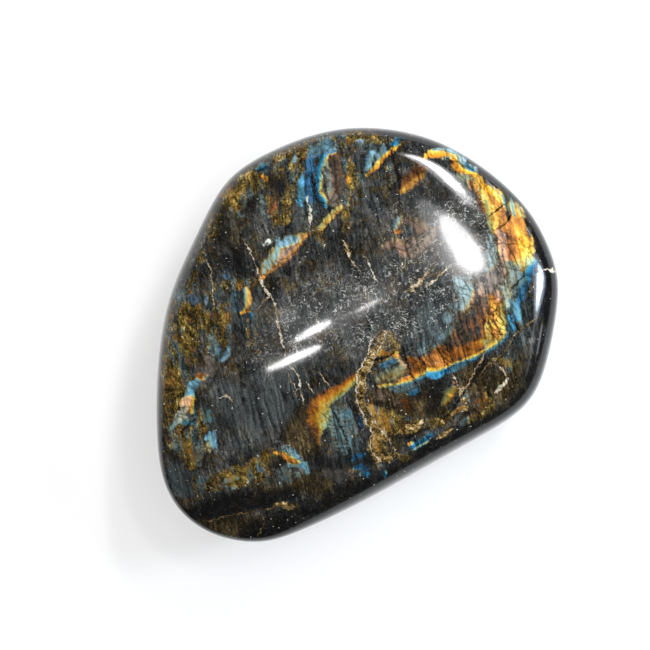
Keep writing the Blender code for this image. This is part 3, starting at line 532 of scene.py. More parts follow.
# A zone is a soft stroke that turns the body of the stone towards another look, by an amount.
Zone = namedtuple("Zone", "line amount")
FACE_GOLD = [
    Zone([(-36.5, 6.0, 2.5), (-35.5, 0.0, 3.4), (-36.5, -8.0, 2.8), (-35.6, -15.0, 3.2), (-33.5, -21.0, 3.8),
          (-33.0, -25.0, 1.8)], 1.0),
    Zone([(-29.5, 20.0, 1.4), (-27.6, 23.6, 1.8), (-24.5, 27.0, 2.0), (-20.0, 31.0, 2.4), (-15.0, 34.8, 2.0),
          (-8.0, 37.8, 1.4), (0.0, 39.6, 1.2), (8.0, 38.6, 0.9)], 0.7),
    Zone([(-21.8, 3.2, 0.25), (-21.8, 0.0, 0.3), (-21.2, -3.0, 0.3)], 0.9),
    Zone([(-20.3, 2.0, 0.25), (-20.2, -1.0, 0.3), (-19.6, -3.6, 0.25)], 0.9),
    Zone([(3.2, -14.8, 0.9), (5.4, -16.8, 1.6), (7.6, -18.0, 1.6), (10.4, -18.0, 0.9)], 1.0),
    Zone([(24.0, -13.6, 1.0), (26.4, -14.8, 0.9), (24.6, -16.0, 0.6)], 0.6),
    Zone([(-32.6, 12.0, 0.8), (-34.2, 9.0, 0.8), (-32.0, 4.0, 2.0), (-28.5, 3.5, 2.6), (-27.6, 0.5, 2.6),
          (-28.2, -3.0, 1.8)], 1.0),
    Zone([(-31.4, 16.5, 0.8), (-31.3, 15.0, 0.8)], 0.8),
    Zone([(-29.0, 10.0, 1.0), (-26.5, 9.5, 1.2), (-24.2, 10.0, 1.2), (-21.0, 10.5, 1.0)], 0.7),
    Zone([(-25.8, 27.4, 1.6), (-23.4, 29.4, 2.0), (-20.5, 31.6, 1.8), (-18.0, 32.6, 1.4)], 0.9),
    Zone([(-23.4, 27.0, 1.0), (-23.2, 24.0, 0.8)], 0.7),
    Zone([(-18.5, 27.0, 1.4), (-17.0, 25.0, 2.0), (-15.0, 23.5, 1.4), (-14.5, 26.5, 1.2)], 0.8),
    Zone([(-13.8, 34.6, 1.6), (-12.3, 32.8, 1.6), (-12.8, 30.5, 1.3), (-13.4, 28.2, 1.2)], 0.7),
    Zone([(-15.0, 36.4, 0.8), (-12.0, 37.1, 1.0), (-8.0, 38.8, 0.7)], 0.7),
    Zone([(-3.0, 37.8, 0.9), (-1.2, 39.4, 1.0), (1.5, 40.0, 0.9), (4.0, 39.2, 0.8), (6.0, 38.6, 0.5)], 0.7),
    Zone([(-2.0, 34.5, 1.2), (-1.8, 31.0, 1.6), (-2.5, 27.5, 1.1), (-2.1, 24.0, 0.9), (-2.4, 21.0, 0.7)],
         0.7),
    Zone([(-9.5, 21.5, 1.0), (-7.4, 19.3, 1.2), (-7.2, 17.6, 0.8)], 0.5),
    Zone([(0.3, 31.4, 1.2), (1.0, 29.6, 1.0), (0.4, 27.8, 0.5)], 0.8),
    Zone([(6.4, 33.4, 0.9), (6.8, 31.0, 0.9), (5.6, 28.4, 0.8)], 0.5),
    Zone([(-30.0, -30.4, 1.1), (-27.0, -29.4, 1.7), (-24.2, -28.6, 2.0), (-21.5, -27.3, 1.7),
          (-19.5, -25.4, 1.4), (-17.4, -23.8, 1.1), (-15.6, -23.4, 0.7)], 1.0),
    Zone([(-18.6, -27.6, 1.2), (-20.0, -29.2, 0.7)], 0.8),
    Zone([(-32.6, -28.5, 0.5), (-32.0, -31.5, 0.5), (-31.4, -32.6, 0.5)], 0.7),
    Zone([(-15.6, -33.6, 0.9), (-13.6, -34.3, 0.9), (-11.8, -34.2, 0.5)], 0.9),
    Zone([(-8.8, -32.8, 0.8), (-6.6, -32.0, 0.9), (-5.0, -32.0, 0.4)], 0.5),
    Zone([(3.5, 1.0, 1.2), (5.2, -1.0, 1.4), (6.5, -0.2, 1.0), (7.4, -3.0, 1.2), (5.0, -3.8, 1.4),
          (2.8, -5.0, 0.9)], 0.85),
    Zone([(1.0, -8.0, 0.9), (0.8, -11.0, 0.9), (1.0, -13.5, 1.1), (2.3, -16.5, 1.3), (3.6, -18.6, 1.5)], 1.0),
    Zone([(4.8, -15.6, 1.4), (7.0, -17.4, 1.9), (9.5, -18.0, 1.6), (12.2, -18.0, 1.1)], 0.9),
    Zone([(4.2, -20.5, 1.3), (3.8, -22.5, 1.5), (5.0, -24.0, 1.5), (6.6, -24.3, 1.1)], 1.0),
    Zone([(8.4, -24.6, 1.2), (10.6, -25.0, 0.8)], 0.6),
    Zone([(14.5, -17.6, 0.7), (17.4, -17.2, 0.8), (19.2, -15.4, 1.0), (21.2, -14.0, 1.2), (21.4, -12.6, 0.8)],
         0.85),
    Zone([(15.6, -20.6, 0.6), (18.0, -19.6, 0.9)], 0.5),
    Zone([(20.8, -17.8, 0.6), (23.0, -16.6, 0.9), (25.2, -15.6, 1.2), (26.2, -13.6, 1.3)], 0.6),
    Zone([(28.2, -5.2, 0.8), (30.2, -5.4, 0.8), (30.6, -7.0, 0.7)], 0.6),
]
FACE_BROWN = [
    Zone([(3.6, -13.0, 2.4), (8.0, -13.5, 3.4), (12.0, -14.0, 3.2), (16.5, -13.5, 2.4)], 1.0),
    Zone([(23.5, -9.0, 3.0), (26.6, -10.0, 3.4), (30.0, -9.4, 3.0), (32.0, -4.0, 1.8)], 1.0),
    Zone([(22.6, -16.0, 1.6), (26.4, -14.0, 2.0)], 0.9),
    Zone([(31.5, -5.0, 2.0), (31.5, -9.0, 1.5)], 0.6),
    Zone([(-29.0, -38.0, 1.2), (-24.0, -38.2, 2.0), (-20.4, -37.6, 1.4)], 1.0),
    Zone([(-20.0, -29.8, 1.6), (-12.0, -29.6, 2.0), (-6.0, -30.0, 1.6)], 1.0),
    Zone([(-10.6, -16.0, 1.6), (-12.0, -20.0, 2.8), (-9.6, -22.6, 2.0)], 1.0),
    Zone([(-19.0, -25.5, 2.0), (-15.0, -25.2, 1.4)], 0.6),
    Zone([(-31.0, -5.0, 1.4), (-28.5, -6.2, 1.4)], 0.6),
    Zone([(-28.5, 19.0, 1.6), (-26.0, 20.0, 1.6), (-20.5, 28.0, 1.5)], 0.4),
    Zone([(23.0, 10.0, 2.0), (26.0, 11.0, 1.5)], 0.4),
    Zone([(2.0, 17.0, 2.0), (4.0, 19.0, 1.5)], 0.4),
]
FACE_SLAB = [
    Zone([(-25.0, -13.0, 4.0), (-20.0, -15.0, 5.0), (-15.6, -11.6, 4.2), (-13.0, -9.0, 2.6)], 1.0),
    Zone([(-19.0, -19.5, 3.0), (-24.0, -20.5, 2.5)], 0.6),
    Zone([(-36.4, -27.4, 1.6), (-34.8, -30.0, 2.2)], 1.0),
    Zone([(-31.6, -29.0, 1.2), (-30.8, -30.4, 0.8)], 0.8),
    Zone([(-13.6, 3.0, 1.6), (-11.0, 1.6, 2.0), (-10.0, 5.0, 1.2)], 0.8),
    Zone([(-12.6, 21.6, 1.0), (-11.2, 23.8, 0.9)], 0.9),
    Zone([(2.0, 27.6, 1.2), (3.6, 25.0, 1.8), (4.0, 22.0, 1.6)], 0.5),
    Zone([(0.0, 35.5, 0.9), (0.6, 33.6, 0.9)], 0.6),
    Zone([(33.0, -1.4, 1.2), (33.2, -4.0, 1.2)], 0.7),
    Zone([(-20.0, 8.6, 0.8), (-20.8, 5.0, 1.2), (-20.6, 1.0, 1.0)], 0.7),
    Zone([(15.5, 4.0, 2.5), (13.5, 0.0, 2.0)], 0.6),
]
# Dark patches of the stone. The two bands along the lower edge and the long band round the right and lower rim
# are painted shade: a dark rim painted where the polished stone mirrors dark surroundings.
FACE_BLACK_AND_RIM_SHADE = [
    Zone([(-33.0, -36.0, 1.2), (-28.0, -34.4, 2.2), (-23.0, -33.6, 2.2), (-18.0, -32.8, 1.6),
          (-13.0, -31.8, 1.2)], 1.0),
    Zone([(-17.5, -37.6, 2.2), (-12.0, -36.2, 2.2), (-6.0, -33.6, 2.2), (0.0, -30.6, 1.8)], 0.9),
    Zone([(-9.0, -25.4, 1.2), (-4.0, -25.6, 1.2), (2.6, -25.4, 0.8)], 0.7),
    Zone([(-16.8, -26.0, 0.9), (-14.8, -25.4, 0.7)], 0.8),
    Zone([(-22.0, -39.5, 2.0), (-14.0, -38.5, 3.0), (-6.0, -35.6, 3.2), (4.0, -30.4, 3.0), (12.0, -26.2, 2.8),
          (20.0, -21.8, 2.6), (28.0, -17.4, 2.2), (33.4, -12.8, 2.0), (36.6, -6.0, 1.8), (38.2, 2.0, 1.8),
          (38.8, 10.0, 1.8), (38.0, 16.0, 1.6), (35.8, 21.6, 1.2), (32.0, 27.2, 1.0), (27.8, 31.4, 0.9),
          (22.0, 35.1, 0.8), (14.0, 38.6, 0.8), (4.0, 40.8, 0.6)], 1.0),
    Zone([(17.5, -21.8, 1.6), (13.0, -23.6, 1.6)], 1.0),
    Zone([(12.4, -11.8, 1.5), (15.6, -10.0, 1.8), (14.6, -14.6, 1.6)], 0.8),
    Zone([(-17.0, 31.0, 1.6), (-15.4, 29.4, 1.8)], 0.8),
    Zone([(10.6, 25.6, 1.4), (13.0, 28.2, 1.8), (17.0, 27.6, 1.8)], 0.7),
    Zone([(-27.5, 24.5, 1.6), (-26.6, 15.0, 1.8), (-23.5, 16.4, 1.6)], 0.6),
    Zone([(-1.0, -14.0, 1.0), (0.0, -15.0, 0.7)], 0.8),
]
# Painted sheen: zones round the highlights where a pale grey and lit scratches are painted as reflections of
# the lamps.
FACE_PAINTED_SHEEN = [
    Zone([(-16.0, -2.0, 5.0), (-6.0, 4.0, 7.0), (4.0, 5.0, 8.0), (12.0, 8.0, 8.0), (20.0, 14.0, 8.0)], 0.75),
    Zone([(13.5, 18.0, 2.0), (16.0, 12.6, 3.0), (21.0, 10.0, 3.0), (26.5, 12.0, 2.0)], 1.0),
    Zone([(16.0, 22.0, 1.5), (20.5, 25.0, 3.0), (24.5, 22.0, 3.0), (25.5, 18.0, 2.0)], 1.0),
    Zone([(-18.0, -7.6, 1.4), (-12.0, -0.4, 2.0), (-6.0, 4.4, 2.0)], 0.9),
    Zone([(8.0, 22.0, 3.0), (10.0, 26.0, 3.0), (14.0, 28.0, 3.0)], 0.4),
]
FACE_CRUST = [
    Zone([(5.4, 0.4, 0.5), (4.2, -2.0, 0.9), (3.0, -4.5, 0.9), (1.8, -6.9, 0.8), (0.7, -8.7, 0.8),
          (0.9, -11.2, 0.75), (0.8, -13.1, 0.8), (1.9, -15.4, 0.9), (3.1, -18.0, 1.1), (4.6, -19.8, 1.0),
          (5.8, -20.8, 0.7)], 1.0),
    Zone([(3.2, -20.6, 0.8), (4.0, -22.0, 1.0), (3.8, -24.0, 0.9), (5.6, -24.8, 0.8), (7.2, -23.8, 0.7),
          (6.8, -22.2, 0.5)], 0.95),
    Zone([(4.8, -2.8, 0.5), (7.2, -2.9, 0.5), (7.8, -4.4, 0.4)], 0.7),
    Zone([(8.2, -19.4, 0.4), (10.2, -18.4, 0.5), (12.4, -18.0, 0.5), (13.0, -17.2, 0.3)], 0.8),
    Zone([(13.8, -18.8, 0.3), (16.6, -18.2, 0.4), (17.6, -17.0, 0.5), (19.6, -15.4, 0.6), (21.6, -14.6, 0.55),
          (21.6, -13.0, 0.3)], 0.9),
    Zone([(15.6, -20.6, 0.3), (17.6, -19.8, 0.4), (18.8, -18.8, 0.3)], 0.6),
    Zone([(23.2, -8.0, 0.3), (21.9, -10.1, 0.35), (20.8, -11.5, 0.35), (21.0, -13.1, 0.35)], 0.7),
    Zone([(-2.6, 18.4, 0.4), (-1.8, 17.0, 0.6), (-1.4, 15.6, 0.35)], 0.8),
    Zone([(9.8, 8.4, 0.3), (12.2, 10.2, 0.6), (13.8, 11.6, 0.5), (15.4, 12.2, 0.3)], 0.6),
    Zone([(-16.0, -33.9, 0.4), (-14.6, -34.1, 0.7), (-12.8, -34.3, 0.5)], 0.8),
]
FACE_TEAL = [
    Zone([(18.5, 9.0, 2.5), (15.5, 4.0, 3.0), (13.0, 0.0, 2.4), (10.0, -3.5, 1.4)], 0.6),
    Zone([(-9.2, 36.0, 1.2), (-9.8, 32.0, 1.2), (-9.6, 28.0, 1.4), (-9.0, 25.0, 1.4)], 0.8),
    Zone([(2.4, 34.0, 1.4), (5.0, 37.0, 1.6), (0.6, 37.8, 1.0)], 0.7),
    Zone([(-3.8, -14.0, 2.0), (-3.0, -19.0, 2.6), (-1.0, -23.0, 2.0), (1.0, -26.5, 1.6)], 0.7),
    Zone([(33.0, 6.0, 1.5), (32.0, -1.0, 1.5), (30.0, -6.0, 1.2)], 0.5),
    Zone([(-37.0, -28.0, 1.5), (-34.0, -30.0, 2.0), (-30.5, -30.0, 1.4)], 0.7),
    Zone([(-24.4, 8.6, 1.4), (-23.6, 4.6, 1.6), (-20.6, 1.0, 1.2)], 0.6),
    Zone([(-30.0, -16.0, 1.4), (-29.0, -19.0, 1.2)], 0.7),
    Zone([(-36.0, 8.0, 1.6), (-32.0, 7.0, 1.6), (-36.5, -5.0, 1.6)], 0.5),
    Zone([(-15.0, -27.4, 1.4), (-12.5, -28.0, 1.4), (-20.0, -30.0, 1.0)], 0.5),
]

# A vein keeps to one of three layers, so that two which run close together don't blur. Its points carry
# half-widths, and its tone runs from a black crack at 0 to a white thread at 1.
Vein = namedtuple("Vein", "line tone")
LONG_VEINS = [
    Vein([(-22.6, 18.8, 0.1), (-21.5, 17.0, 0.16), (-20.8, 15.2, 0.12), (-19.9, 13.2, 0.16),
          (-19.2, 11.0, 0.2),
          (-18.2, 9.0, 0.24), (-17.3, 7.9, 0.28), (-16.7, 7.0, 0.22), (-16.2, 5.0, 0.2), (-16.0, 3.0, 0.24),
          (-15.8, 2.0, 0.34), (-15.4, 0.5, 0.24), (-15.0, -1.5, 0.18), (-14.5, -3.0, 0.16),
          (-14.2, -5.0, 0.12)], 0.82),
    Vein([(-13.9, -6.0, 0.05), (-12.7, -7.0, 0.12), (-12.1, -7.8, 0.15), (-11.5, -9.0, 0.12),
          (-11.4, -10.3, 0.1),
          (-11.1, -11.8, 0.14), (-10.7, -13.3, 0.08)], 0.9),
    Vein([(35.8, 3.4, 0.12), (34.4, 2.2, 0.18), (33.0, 1.3, 0.2), (31.5, 0.0, 0.2), (30.5, -1.8, 0.18),
          (29.5, -3.2, 0.18), (28.3, -4.5, 0.2), (27.0, -5.2, 0.18), (25.8, -6.2, 0.2), (25.0, -7.3, 0.1)],
         0.52),
    Vein([(27.2, -5.6, 0.1), (28.2, -6.3, 0.18), (29.2, -6.9, 0.22), (29.7, -8.0, 0.12)], 0.8),
    Vein([(5.6, -0.4, 0.06), (4.6, -2.6, 0.12), (3.4, -5.0, 0.1), (2.4, -7.0, 0.14), (1.6, -8.8, 0.1),
          (1.8, -10.8, 0.12), (1.5, -13.2, 0.1), (2.6, -15.2, 0.14), (3.8, -17.6, 0.12), (5.4, -19.6, 0.14),
          (6.6, -21.4, 0.1), (7.6, -23.0, 0.06)], 0.76),
    Vein([(-32.0, -37.4, 0.11), (-30.3, -37.3, 0.2), (-28.0, -36.8, 0.11), (-26.0, -36.2, 0.11),
          (-23.0, -35.6, 0.13), (-21.4, -35.6, 0.18), (-20.0, -35.2, 0.13), (-18.0, -35.0, 0.1),
          (-16.5, -34.3, 0.13), (-15.5, -34.2, 0.24), (-13.5, -34.6, 0.28), (-12.0, -34.2, 0.14)], 0.48),
    Vein([(-29.8, 14.5, 0.1), (-29.2, 13.0, 0.13), (-29.0, 11.0, 0.17), (-28.9, 9.5, 0.13),
          (-28.8, 7.5, 0.15),
          (-28.6, 6.0, 0.1)], 0.8),
    Vein([(39.2, 12.8, 0.4), (38.4, 13.1, 0.3), (37.4, 13.0, 0.14), (36.4, 12.4, 0.08)], 1.0),
    Vein([(9.8, 8.8, 0.08), (11.2, 9.3, 0.14), (12.0, 10.0, 0.26), (12.8, 11.0, 0.4), (13.6, 11.8, 0.26),
          (14.2, 12.8, 0.12), (15.2, 14.2, 0.06)], 0.8),
    Vein([(1.6, 15.6, 0.08), (2.4, 14.3, 0.1), (3.2, 12.3, 0.16), (3.9, 10.8, 0.08)], 0.86),
]
CROSS_VEINS = [
    Vein([(4.0, 0.2, 0.08), (2.7, -1.6, 0.14), (2.3, -3.4, 0.12), (1.4, -5.2, 0.16), (0.6, -6.8, 0.14),
          (-0.1, -8.4, 0.18), (0.2, -10.0, 0.12), (-0.2, -12.0, 0.16), (0.1, -13.8, 0.14), (1.0, -15.6, 0.16),
          (1.9, -17.6, 0.14), (3.0, -19.4, 0.16), (2.6, -21.6, 0.12), (3.2, -23.6, 0.14), (4.8, -25.2, 0.08)],
         0.86),
    Vein([(26.8, -0.9, 0.08), (25.8, -2.2, 0.16), (25.3, -3.6, 0.2), (24.9, -5.0, 0.26), (24.0, -6.3, 0.18),
          (23.3, -7.8, 0.2), (22.5, -9.2, 0.2), (21.8, -10.5, 0.15), (20.8, -11.5, 0.22),
          (20.8, -13.2, 0.14)],
         0.72),
    Vein([(19.1, -7.8, 0.1), (19.8, -9.2, 0.14), (20.2, -10.4, 0.1)], 0.75),
    Vein([(-13.8, -7.5, 0.05), (-13.3, -9.0, 0.08), (-12.4, -10.3, 0.1), (-12.3, -11.7, 0.06)], 0.82),
    Vein([(-2.5, 18.3, 0.26), (-1.8, 17.0, 0.34), (-1.5, 15.6, 0.2), (-0.8, 14.3, 0.16), (0.3, 13.3, 0.08)],
         0.82),
    Vein([(-19.3, -35.4, 0.1), (-18.8, -36.5, 0.11), (-18.6, -37.6, 0.15), (-19.2, -39.0, 0.15),
          (-20.0, -40.2, 0.1)], 0.42),
    Vein([(-9.9, 27.2, 0.14), (-9.7, 25.9, 0.16), (-9.2, 24.9, 0.4), (-9.3, 24.1, 0.3), (-9.3, 23.5, 0.5),
          (-9.4, 22.3, 0.1)], 0.92),
    Vein([(-7.2, -7.9, 0.06), (-6.6, -8.9, 0.1), (-5.8, -9.8, 0.1)], 0.86),
    Vein([(-9.8, -10.0, 0.1), (-9.0, -11.1, 0.12)], 0.9),
    Vein([(14.3, 10.1, 0.2), (15.8, 11.2, 0.26), (17.0, 12.4, 0.24), (18.3, 13.6, 0.1)], 0.8),
    Vein([(-17.9, 7.4, 0.2), (-19.0, 6.4, 0.12), (-19.8, 4.6, 0.08)], 0.72),
    Vein([(-27.0, -12.4, 0.12), (-26.0, -12.1, 0.16), (-25.2, -12.8, 0.14)], 0.84),
]
CRACKS = [
    Vein([(25.9, -4.0, 0.1), (25.0, -6.2, 0.24), (23.8, -8.2, 0.26), (22.6, -10.2, 0.14)], 0.04),
    Vein([(17.6, -16.6, 0.1), (19.2, -15.0, 0.22), (20.2, -13.2, 0.2), (21.4, -11.6, 0.12)], 0.04),
    Vein([(8.4, -20.6, 0.1), (10.4, -20.4, 0.26), (12.6, -19.2, 0.2), (14.4, -18.6, 0.1)], 0.04),
    Vein([(9.3, -2.5, 0.15), (9.6, -4.4, 0.3), (10.3, -6.4, 0.18)], 0.05),
    Vein([(12.6, -4.4, 0.08), (13.4, -5.8, 0.2), (13.8, -6.8, 0.08)], 0.05),
    Vein([(21.3, -3.0, 0.06), (21.8, -4.6, 0.1), (22.2, -5.8, 0.06)], 0.05),
    Vein([(17.8, -2.0, 0.06), (18.6, -4.0, 0.1), (19.2, -5.6, 0.06)], 0.05),
    Vein([(15.5, -1.3, 0.08), (16.3, -3.0, 0.12), (17.3, -4.8, 0.12), (18.6, -7.0, 0.08)], 0.05),
    Vein([(26.7, 4.2, 0.08), (27.8, 5.0, 0.14), (28.4, 6.2, 0.08)], 0.02),
    Vein([(27.0, 4.3, 0.05), (27.4, 2.8, 0.1), (28.2, 1.4, 0.06), (28.8, 0.2, 0.05)], 0.05),
    Vein([(26.2, 3.6, 0.03), (26.8, 1.6, 0.05), (27.4, -0.6, 0.03)], 0.05),
    Vein([(28.3, 5.4, 0.05), (28.7, 3.6, 0.08), (29.4, 2.0, 0.05)], 0.1),
    Vein([(25.0, 3.8, 0.03), (25.3, 1.8, 0.06), (25.6, 0.0, 0.03)], 0.05),
    Vein([(3.4, -5.0, 0.15), (4.8, -4.8, 0.3), (6.2, -4.3, 0.2), (7.2, -3.4, 0.08)], 0.02),
    Vein([(30.3, 4.4, 0.05), (31.0, 2.9, 0.1), (32.0, 1.4, 0.08), (32.6, 0.6, 0.05)], 0.05),
    Vein([(10.6, -7.2, 0.08), (11.4, -8.8, 0.12), (12.4, -10.8, 0.08)], 0.05),
    Vein([(29.2, 26.0, 0.08), (28.0, 25.0, 0.12), (26.8, 23.9, 0.08)], 0.02),
    Vein([(30.4, 23.4, 0.26), (29.6, 22.2, 0.1), (28.2, 21.4, 0.06)], 0.05),
    Vein([(-9.0, 31.5, 0.14), (-8.7, 30.0, 0.22), (-8.4, 28.3, 0.22), (-8.1, 26.8, 0.16)], 0.02),
    Vein([(7.0, 38.6, 0.08), (7.1, 36.0, 0.18), (7.4, 34.0, 0.16), (8.3, 31.0, 0.16), (8.4, 28.0, 0.14),
          (8.6, 25.5, 0.08)], 0.1),
    Vein([(31.0, 9.4, 0.1), (32.2, 10.6, 0.14), (33.4, 11.7, 0.1)], 0.05),
    Vein([(-35.0, -19.5, 0.08), (-34.0, -18.4, 0.1), (-32.6, -16.8, 0.06)], 0.05),
    Vein([(-4.9, -14.8, 0.08), (-3.6, -17.6, 0.14), (-2.2, -20.6, 0.1)], 0.05),
    Vein([(-2.0, -12.8, 0.1), (-0.6, -15.8, 0.16), (0.6, -18.6, 0.1)], 0.05),
    Vein([(18.2, 35.0, 0.3), (18.9, 34.6, 0.3)], 0.1),
]
FACE_VEINS = [LONG_VEINS, CROSS_VEINS, CRACKS]
BACK_VEINS = [
    [
        Vein([(-30.0, 12.0, 0.1), (-20.0, 15.0, 0.3), (-8.0, 19.0, 0.2), (4.0, 20.0, 0.4), (14.0, 25.0, 0.2),
              (20.0, 30.0, 0.1)], 0.75),
        Vein([(-26.0, -28.0, 0.1), (-16.0, -24.0, 0.35), (-8.0, -17.0, 0.25), (-1.0, -6.0, 0.3),
              (9.0, 0.0, 0.2), (20.0, -2.0, 0.1)], 0.8),
    ],
    [
        Vein([(-6.0, 24.0, 0.1), (-9.0, 12.0, 0.2), (-8.0, 2.0, 0.3), (-14.0, -8.0, 0.2),
              (-15.0, -18.0, 0.1)], 0.7),
    ],
    [
        Vein([(-20.0, 26.0, 0.1), (-17.0, 10.0, 0.15), (-19.0, -4.0, 0.1)], 0.05),
        Vein([(8.0, 20.0, 0.1), (14.0, 6.0, 0.15), (12.0, -12.0, 0.1)], 0.05),
    ],
]
BACK_GOLD = [
    Zone([(-28.0, 8.0, 3.0), (-22.0, 16.0, 4.0), (-12.0, 24.0, 3.0)], 0.9),
    Zone([(-10.0, -20.0, 2.5), (-3.0, -9.0, 3.0), (6.0, -3.0, 2.5)], 0.8),
    Zone([(22.0, 14.0, 3.0), (26.0, 4.0, 2.5), (24.0, -6.0, 2.0)], 0.7),
    Zone([(-36.0, 4.0, 3.0), (-38.6, -14.0, 4.0), (-37.0, -28.0, 3.0)], 0.85),
    Zone([(8.0, 38.0, 3.0), (20.0, 34.0, 4.0), (30.0, 27.0, 3.0)], 0.75),
    Zone([(0.0, -32.0, 2.0), (14.0, -25.0, 3.0), (22.0, -20.0, 2.0)], 0.7),
]
BACK_BROWN = [
    Zone([(6.0, 26.0, 4.0), (16.0, 20.0, 5.0)], 0.6),
    Zone([(-28.0, -38.0, 3.0), (-12.0, -37.0, 4.0)], 0.7),
    Zone([(36.0, -6.0, 3.0), (38.4, 6.0, 4.0), (36.0, 18.0, 3.0)], 0.7),
]
BACK_SLAB = [
    Zone([(-26.0, -14.0, 4.0), (-20.0, -22.0, 5.0), (-12.0, -28.0, 3.0)], 0.9),
    Zone([(4.0, 4.0, 4.0), (10.0, -8.0, 4.0)], 0.7),
    Zone([(-32.0, 16.0, 4.0), (-24.0, 29.0, 4.0), (-12.0, 37.0, 3.0)], 0.8),
    Zone([(24.0, -19.0, 3.0), (34.0, -10.0, 3.0)], 0.7),
]
BACK_BLACK = [Zone([(-4.0, 32.0, 4.0), (10.0, 34.0, 4.0)], 0.8)]
BACK_CRUST = [Zone([(-16.0, -24.0, 0.5), (-8.0, -17.0, 0.6), (-1.0, -6.0, 0.7), (9.0, 0.0, 0.4)], 0.8)]
BACK_TEAL = [Zone([(-2.0, 20.0, 4.0), (8.0, 24.0, 3.0)], 0.6)]

# The zones of the face and of the back, in the order in which the finish reads them.
ZONES = {
    "zones": [(FACE_GOLD, BACK_GOLD), (FACE_SLAB, BACK_SLAB), (FACE_BLACK_AND_RIM_SHADE, BACK_BLACK), (FACE_PAINTED_SHEEN, [])],
    "tints": [(FACE_BROWN, BACK_BROWN), (FACE_CRUST, BACK_CRUST), (FACE_TEAL, BACK_TEAL)],
}


def smooth_share(low, high, values):
    """0 below low, 1 above high, and an easy curve between them."""
    share = np.clip((values - low) / (high - low), 0.0, 1.0)
    return share * share * (3 - 2 * share)


def stand_out(corners):
    """Cage corners that stand out enough for their smooth curve to pass through the given ones."""
    count = len(corners)
    cage = [corner.copy() for corner in corners]
    for _ in range(OUTLINE_PASSES):
        smooth = [(cage[i - 1] + 4 * cage[i] + cage[(i + 1) % count]) / 6 for i in range(count)]
        cage = [cage[i] + corners[i] - smooth[i] for i in range(count)]
    return cage


def moved_in(corner, inset):
    """The corner moved towards the stone's middle."""
    return corner * (1 - inset / corner.length)


def face_height(point):
    """How high the domed face is over a point of the outline's plane."""
    return CROWN_HEIGHT - point.length_squared / (2 * FACE_RADIUS)


def shoulder_inset(corner):
    """The shoulder is broad on the upper left and tight on the lower right."""
    share = 0.5 + 0.5 * corner.normalized().dot(BROAD_SIDE.normalized())
    return TIGHT_SHOULDER + (BROAD_SHOULDER - TIGHT_SHOULDER) * share


def under_face(corner, inset, drop=0.0):
    """A point at an inset from the outline, on the domed face or as far under it as the drop."""
    point = moved_in(corner, inset)
    return point.to_3d() + Vector((0, 0, face_height(point) - drop))


def ring_at(corners, inset, height):
    """A ring of the cage at one height, moved in from the outline."""
    return [moved_in(corner, inset).to_3d() + Vector((0, 0, height)) for corner in corners]


def cage_rings():
    """The rings of the cage from the face's edge, over the shoulder and down the wall, to the foot."""
    corners = stand_out([Vector(point) for point in OUTLINE])
    girth_inset = POLISH_LOSS - (UPPER_WALL["inset"] + LOWER_WALL["inset"]) / 4
    return [
        [under_face(corner, FACE_EDGE_INSET) for corner in corners],
        [under_face(corner, BROW_INSET, BROW_DROP) for corner in corners],
        [under_face(corner, shoulder_inset(corner), SHOULDER_DROP) for corner in corners],
        ring_at(corners, **UPPER_WALL),
        ring_at(corners, girth_inset, GIRTH_HEIGHT),
        ring_at(corners, **LOWER_WALL),
        ring_at(corners, **HEEL),
        ring_at(corners, FOOT_INSET, 0.0),
    ]


def pick_ring(stone, ring):
    """Selects the ring's corners in edit mode, the first of them as the active one."""
    mesh = bmesh.from_edit_mesh(stone.data)
    for vertex in mesh.verts:
        vertex.select_set(False)
    mesh.select_flush(False)
    mesh.select_history.clear()
    picked = [min(mesh.verts, key=lambda vertex: (vertex.co - point * MM).length) for point in ring]
    for vertex in picked:
        vertex.select_set(True)
    mesh.select_flush(True)
    mesh.select_history.add(picked[0])
    bmesh.update_edit_mesh(stone.data)


def extrude_ring(stone, ring, next_ring):
    """Draws one more ring out of the ring that the cage ends in."""
    pick_ring(stone, ring)
    bpy.ops.mesh.extrude_region_move()
    mesh = bmesh.from_edit_mesh(stone.data)
    for vertex in [vertex for vertex in mesh.verts if vertex.select]:
        nearest = min(range(len(ring)), key=lambda k: (vertex.co - ring[k] * MM).length)
        vertex.co = next_ring[nearest] * MM
    bmesh.update_edit_mesh(stone.data)


def start_cage(ring):
    """The face: a circle drawn out to the face's edge, filled with a square net lifted to the dome."""
    for thing in bpy.context.selected_objects:
        thing.select_set(False)
    bpy.ops.mesh.primitive_circle_add(vertices=len(ring), radius=FACE_EDGE_INSET * MM)
    stone = bpy.context.object
    bpy.ops.object.mode_set(mode="EDIT")
    mesh = bmesh.from_edit_mesh(stone.data)
    mesh.verts.ensure_lookup_table()
    for vertex, point in zip(mesh.verts, ring):
        vertex.co = point * MM
    bmesh.update_edit_mesh(stone.data)
    pick_ring(stone, ring)
    bpy.ops.mesh.fill_grid(span=NET_SIDE)
    mesh = bmesh.from_edit_mesh(stone.data)
    for vertex in mesh.verts:
        if not vertex.is_boundary:
            vertex.co.z = face_height(vertex.co.to_2d() / MM) * MM
    bmesh.update_edit_mesh(stone.data)
    return stone


def shaped_stone():
    """The stone's own shape: the cage of rings and nets, rounded as polishing rounds it."""
    rings = cage_rings()
    stone = start_cage(rings[0])
    for ring, next_ring in zip(rings, rings[1:]):
        extrude_ring(stone, ring, next_ring)
    pick_ring(stone, rings[-1])
    bpy.ops.mesh.fill_grid(span=NET_SIDE)
    bpy.ops.mesh.select_all(action="SELECT")
    bpy.ops.mesh.normals_make_consistent(inside=False)
    bpy.ops.object.mode_set(mode="OBJECT")
    rounding = stone.modifiers.new("rounding", "SUBSURF")
    rounding.levels = POLISH_LEVELS
    rounding.render_levels = POLISH_LEVELS
    bpy.ops.object.modifier_apply(modifier=rounding.name)
    bpy.ops.object.shade_smooth()
    stone.name = "polished_stone"
    stone.data.name = "polished_stone"
    return stone


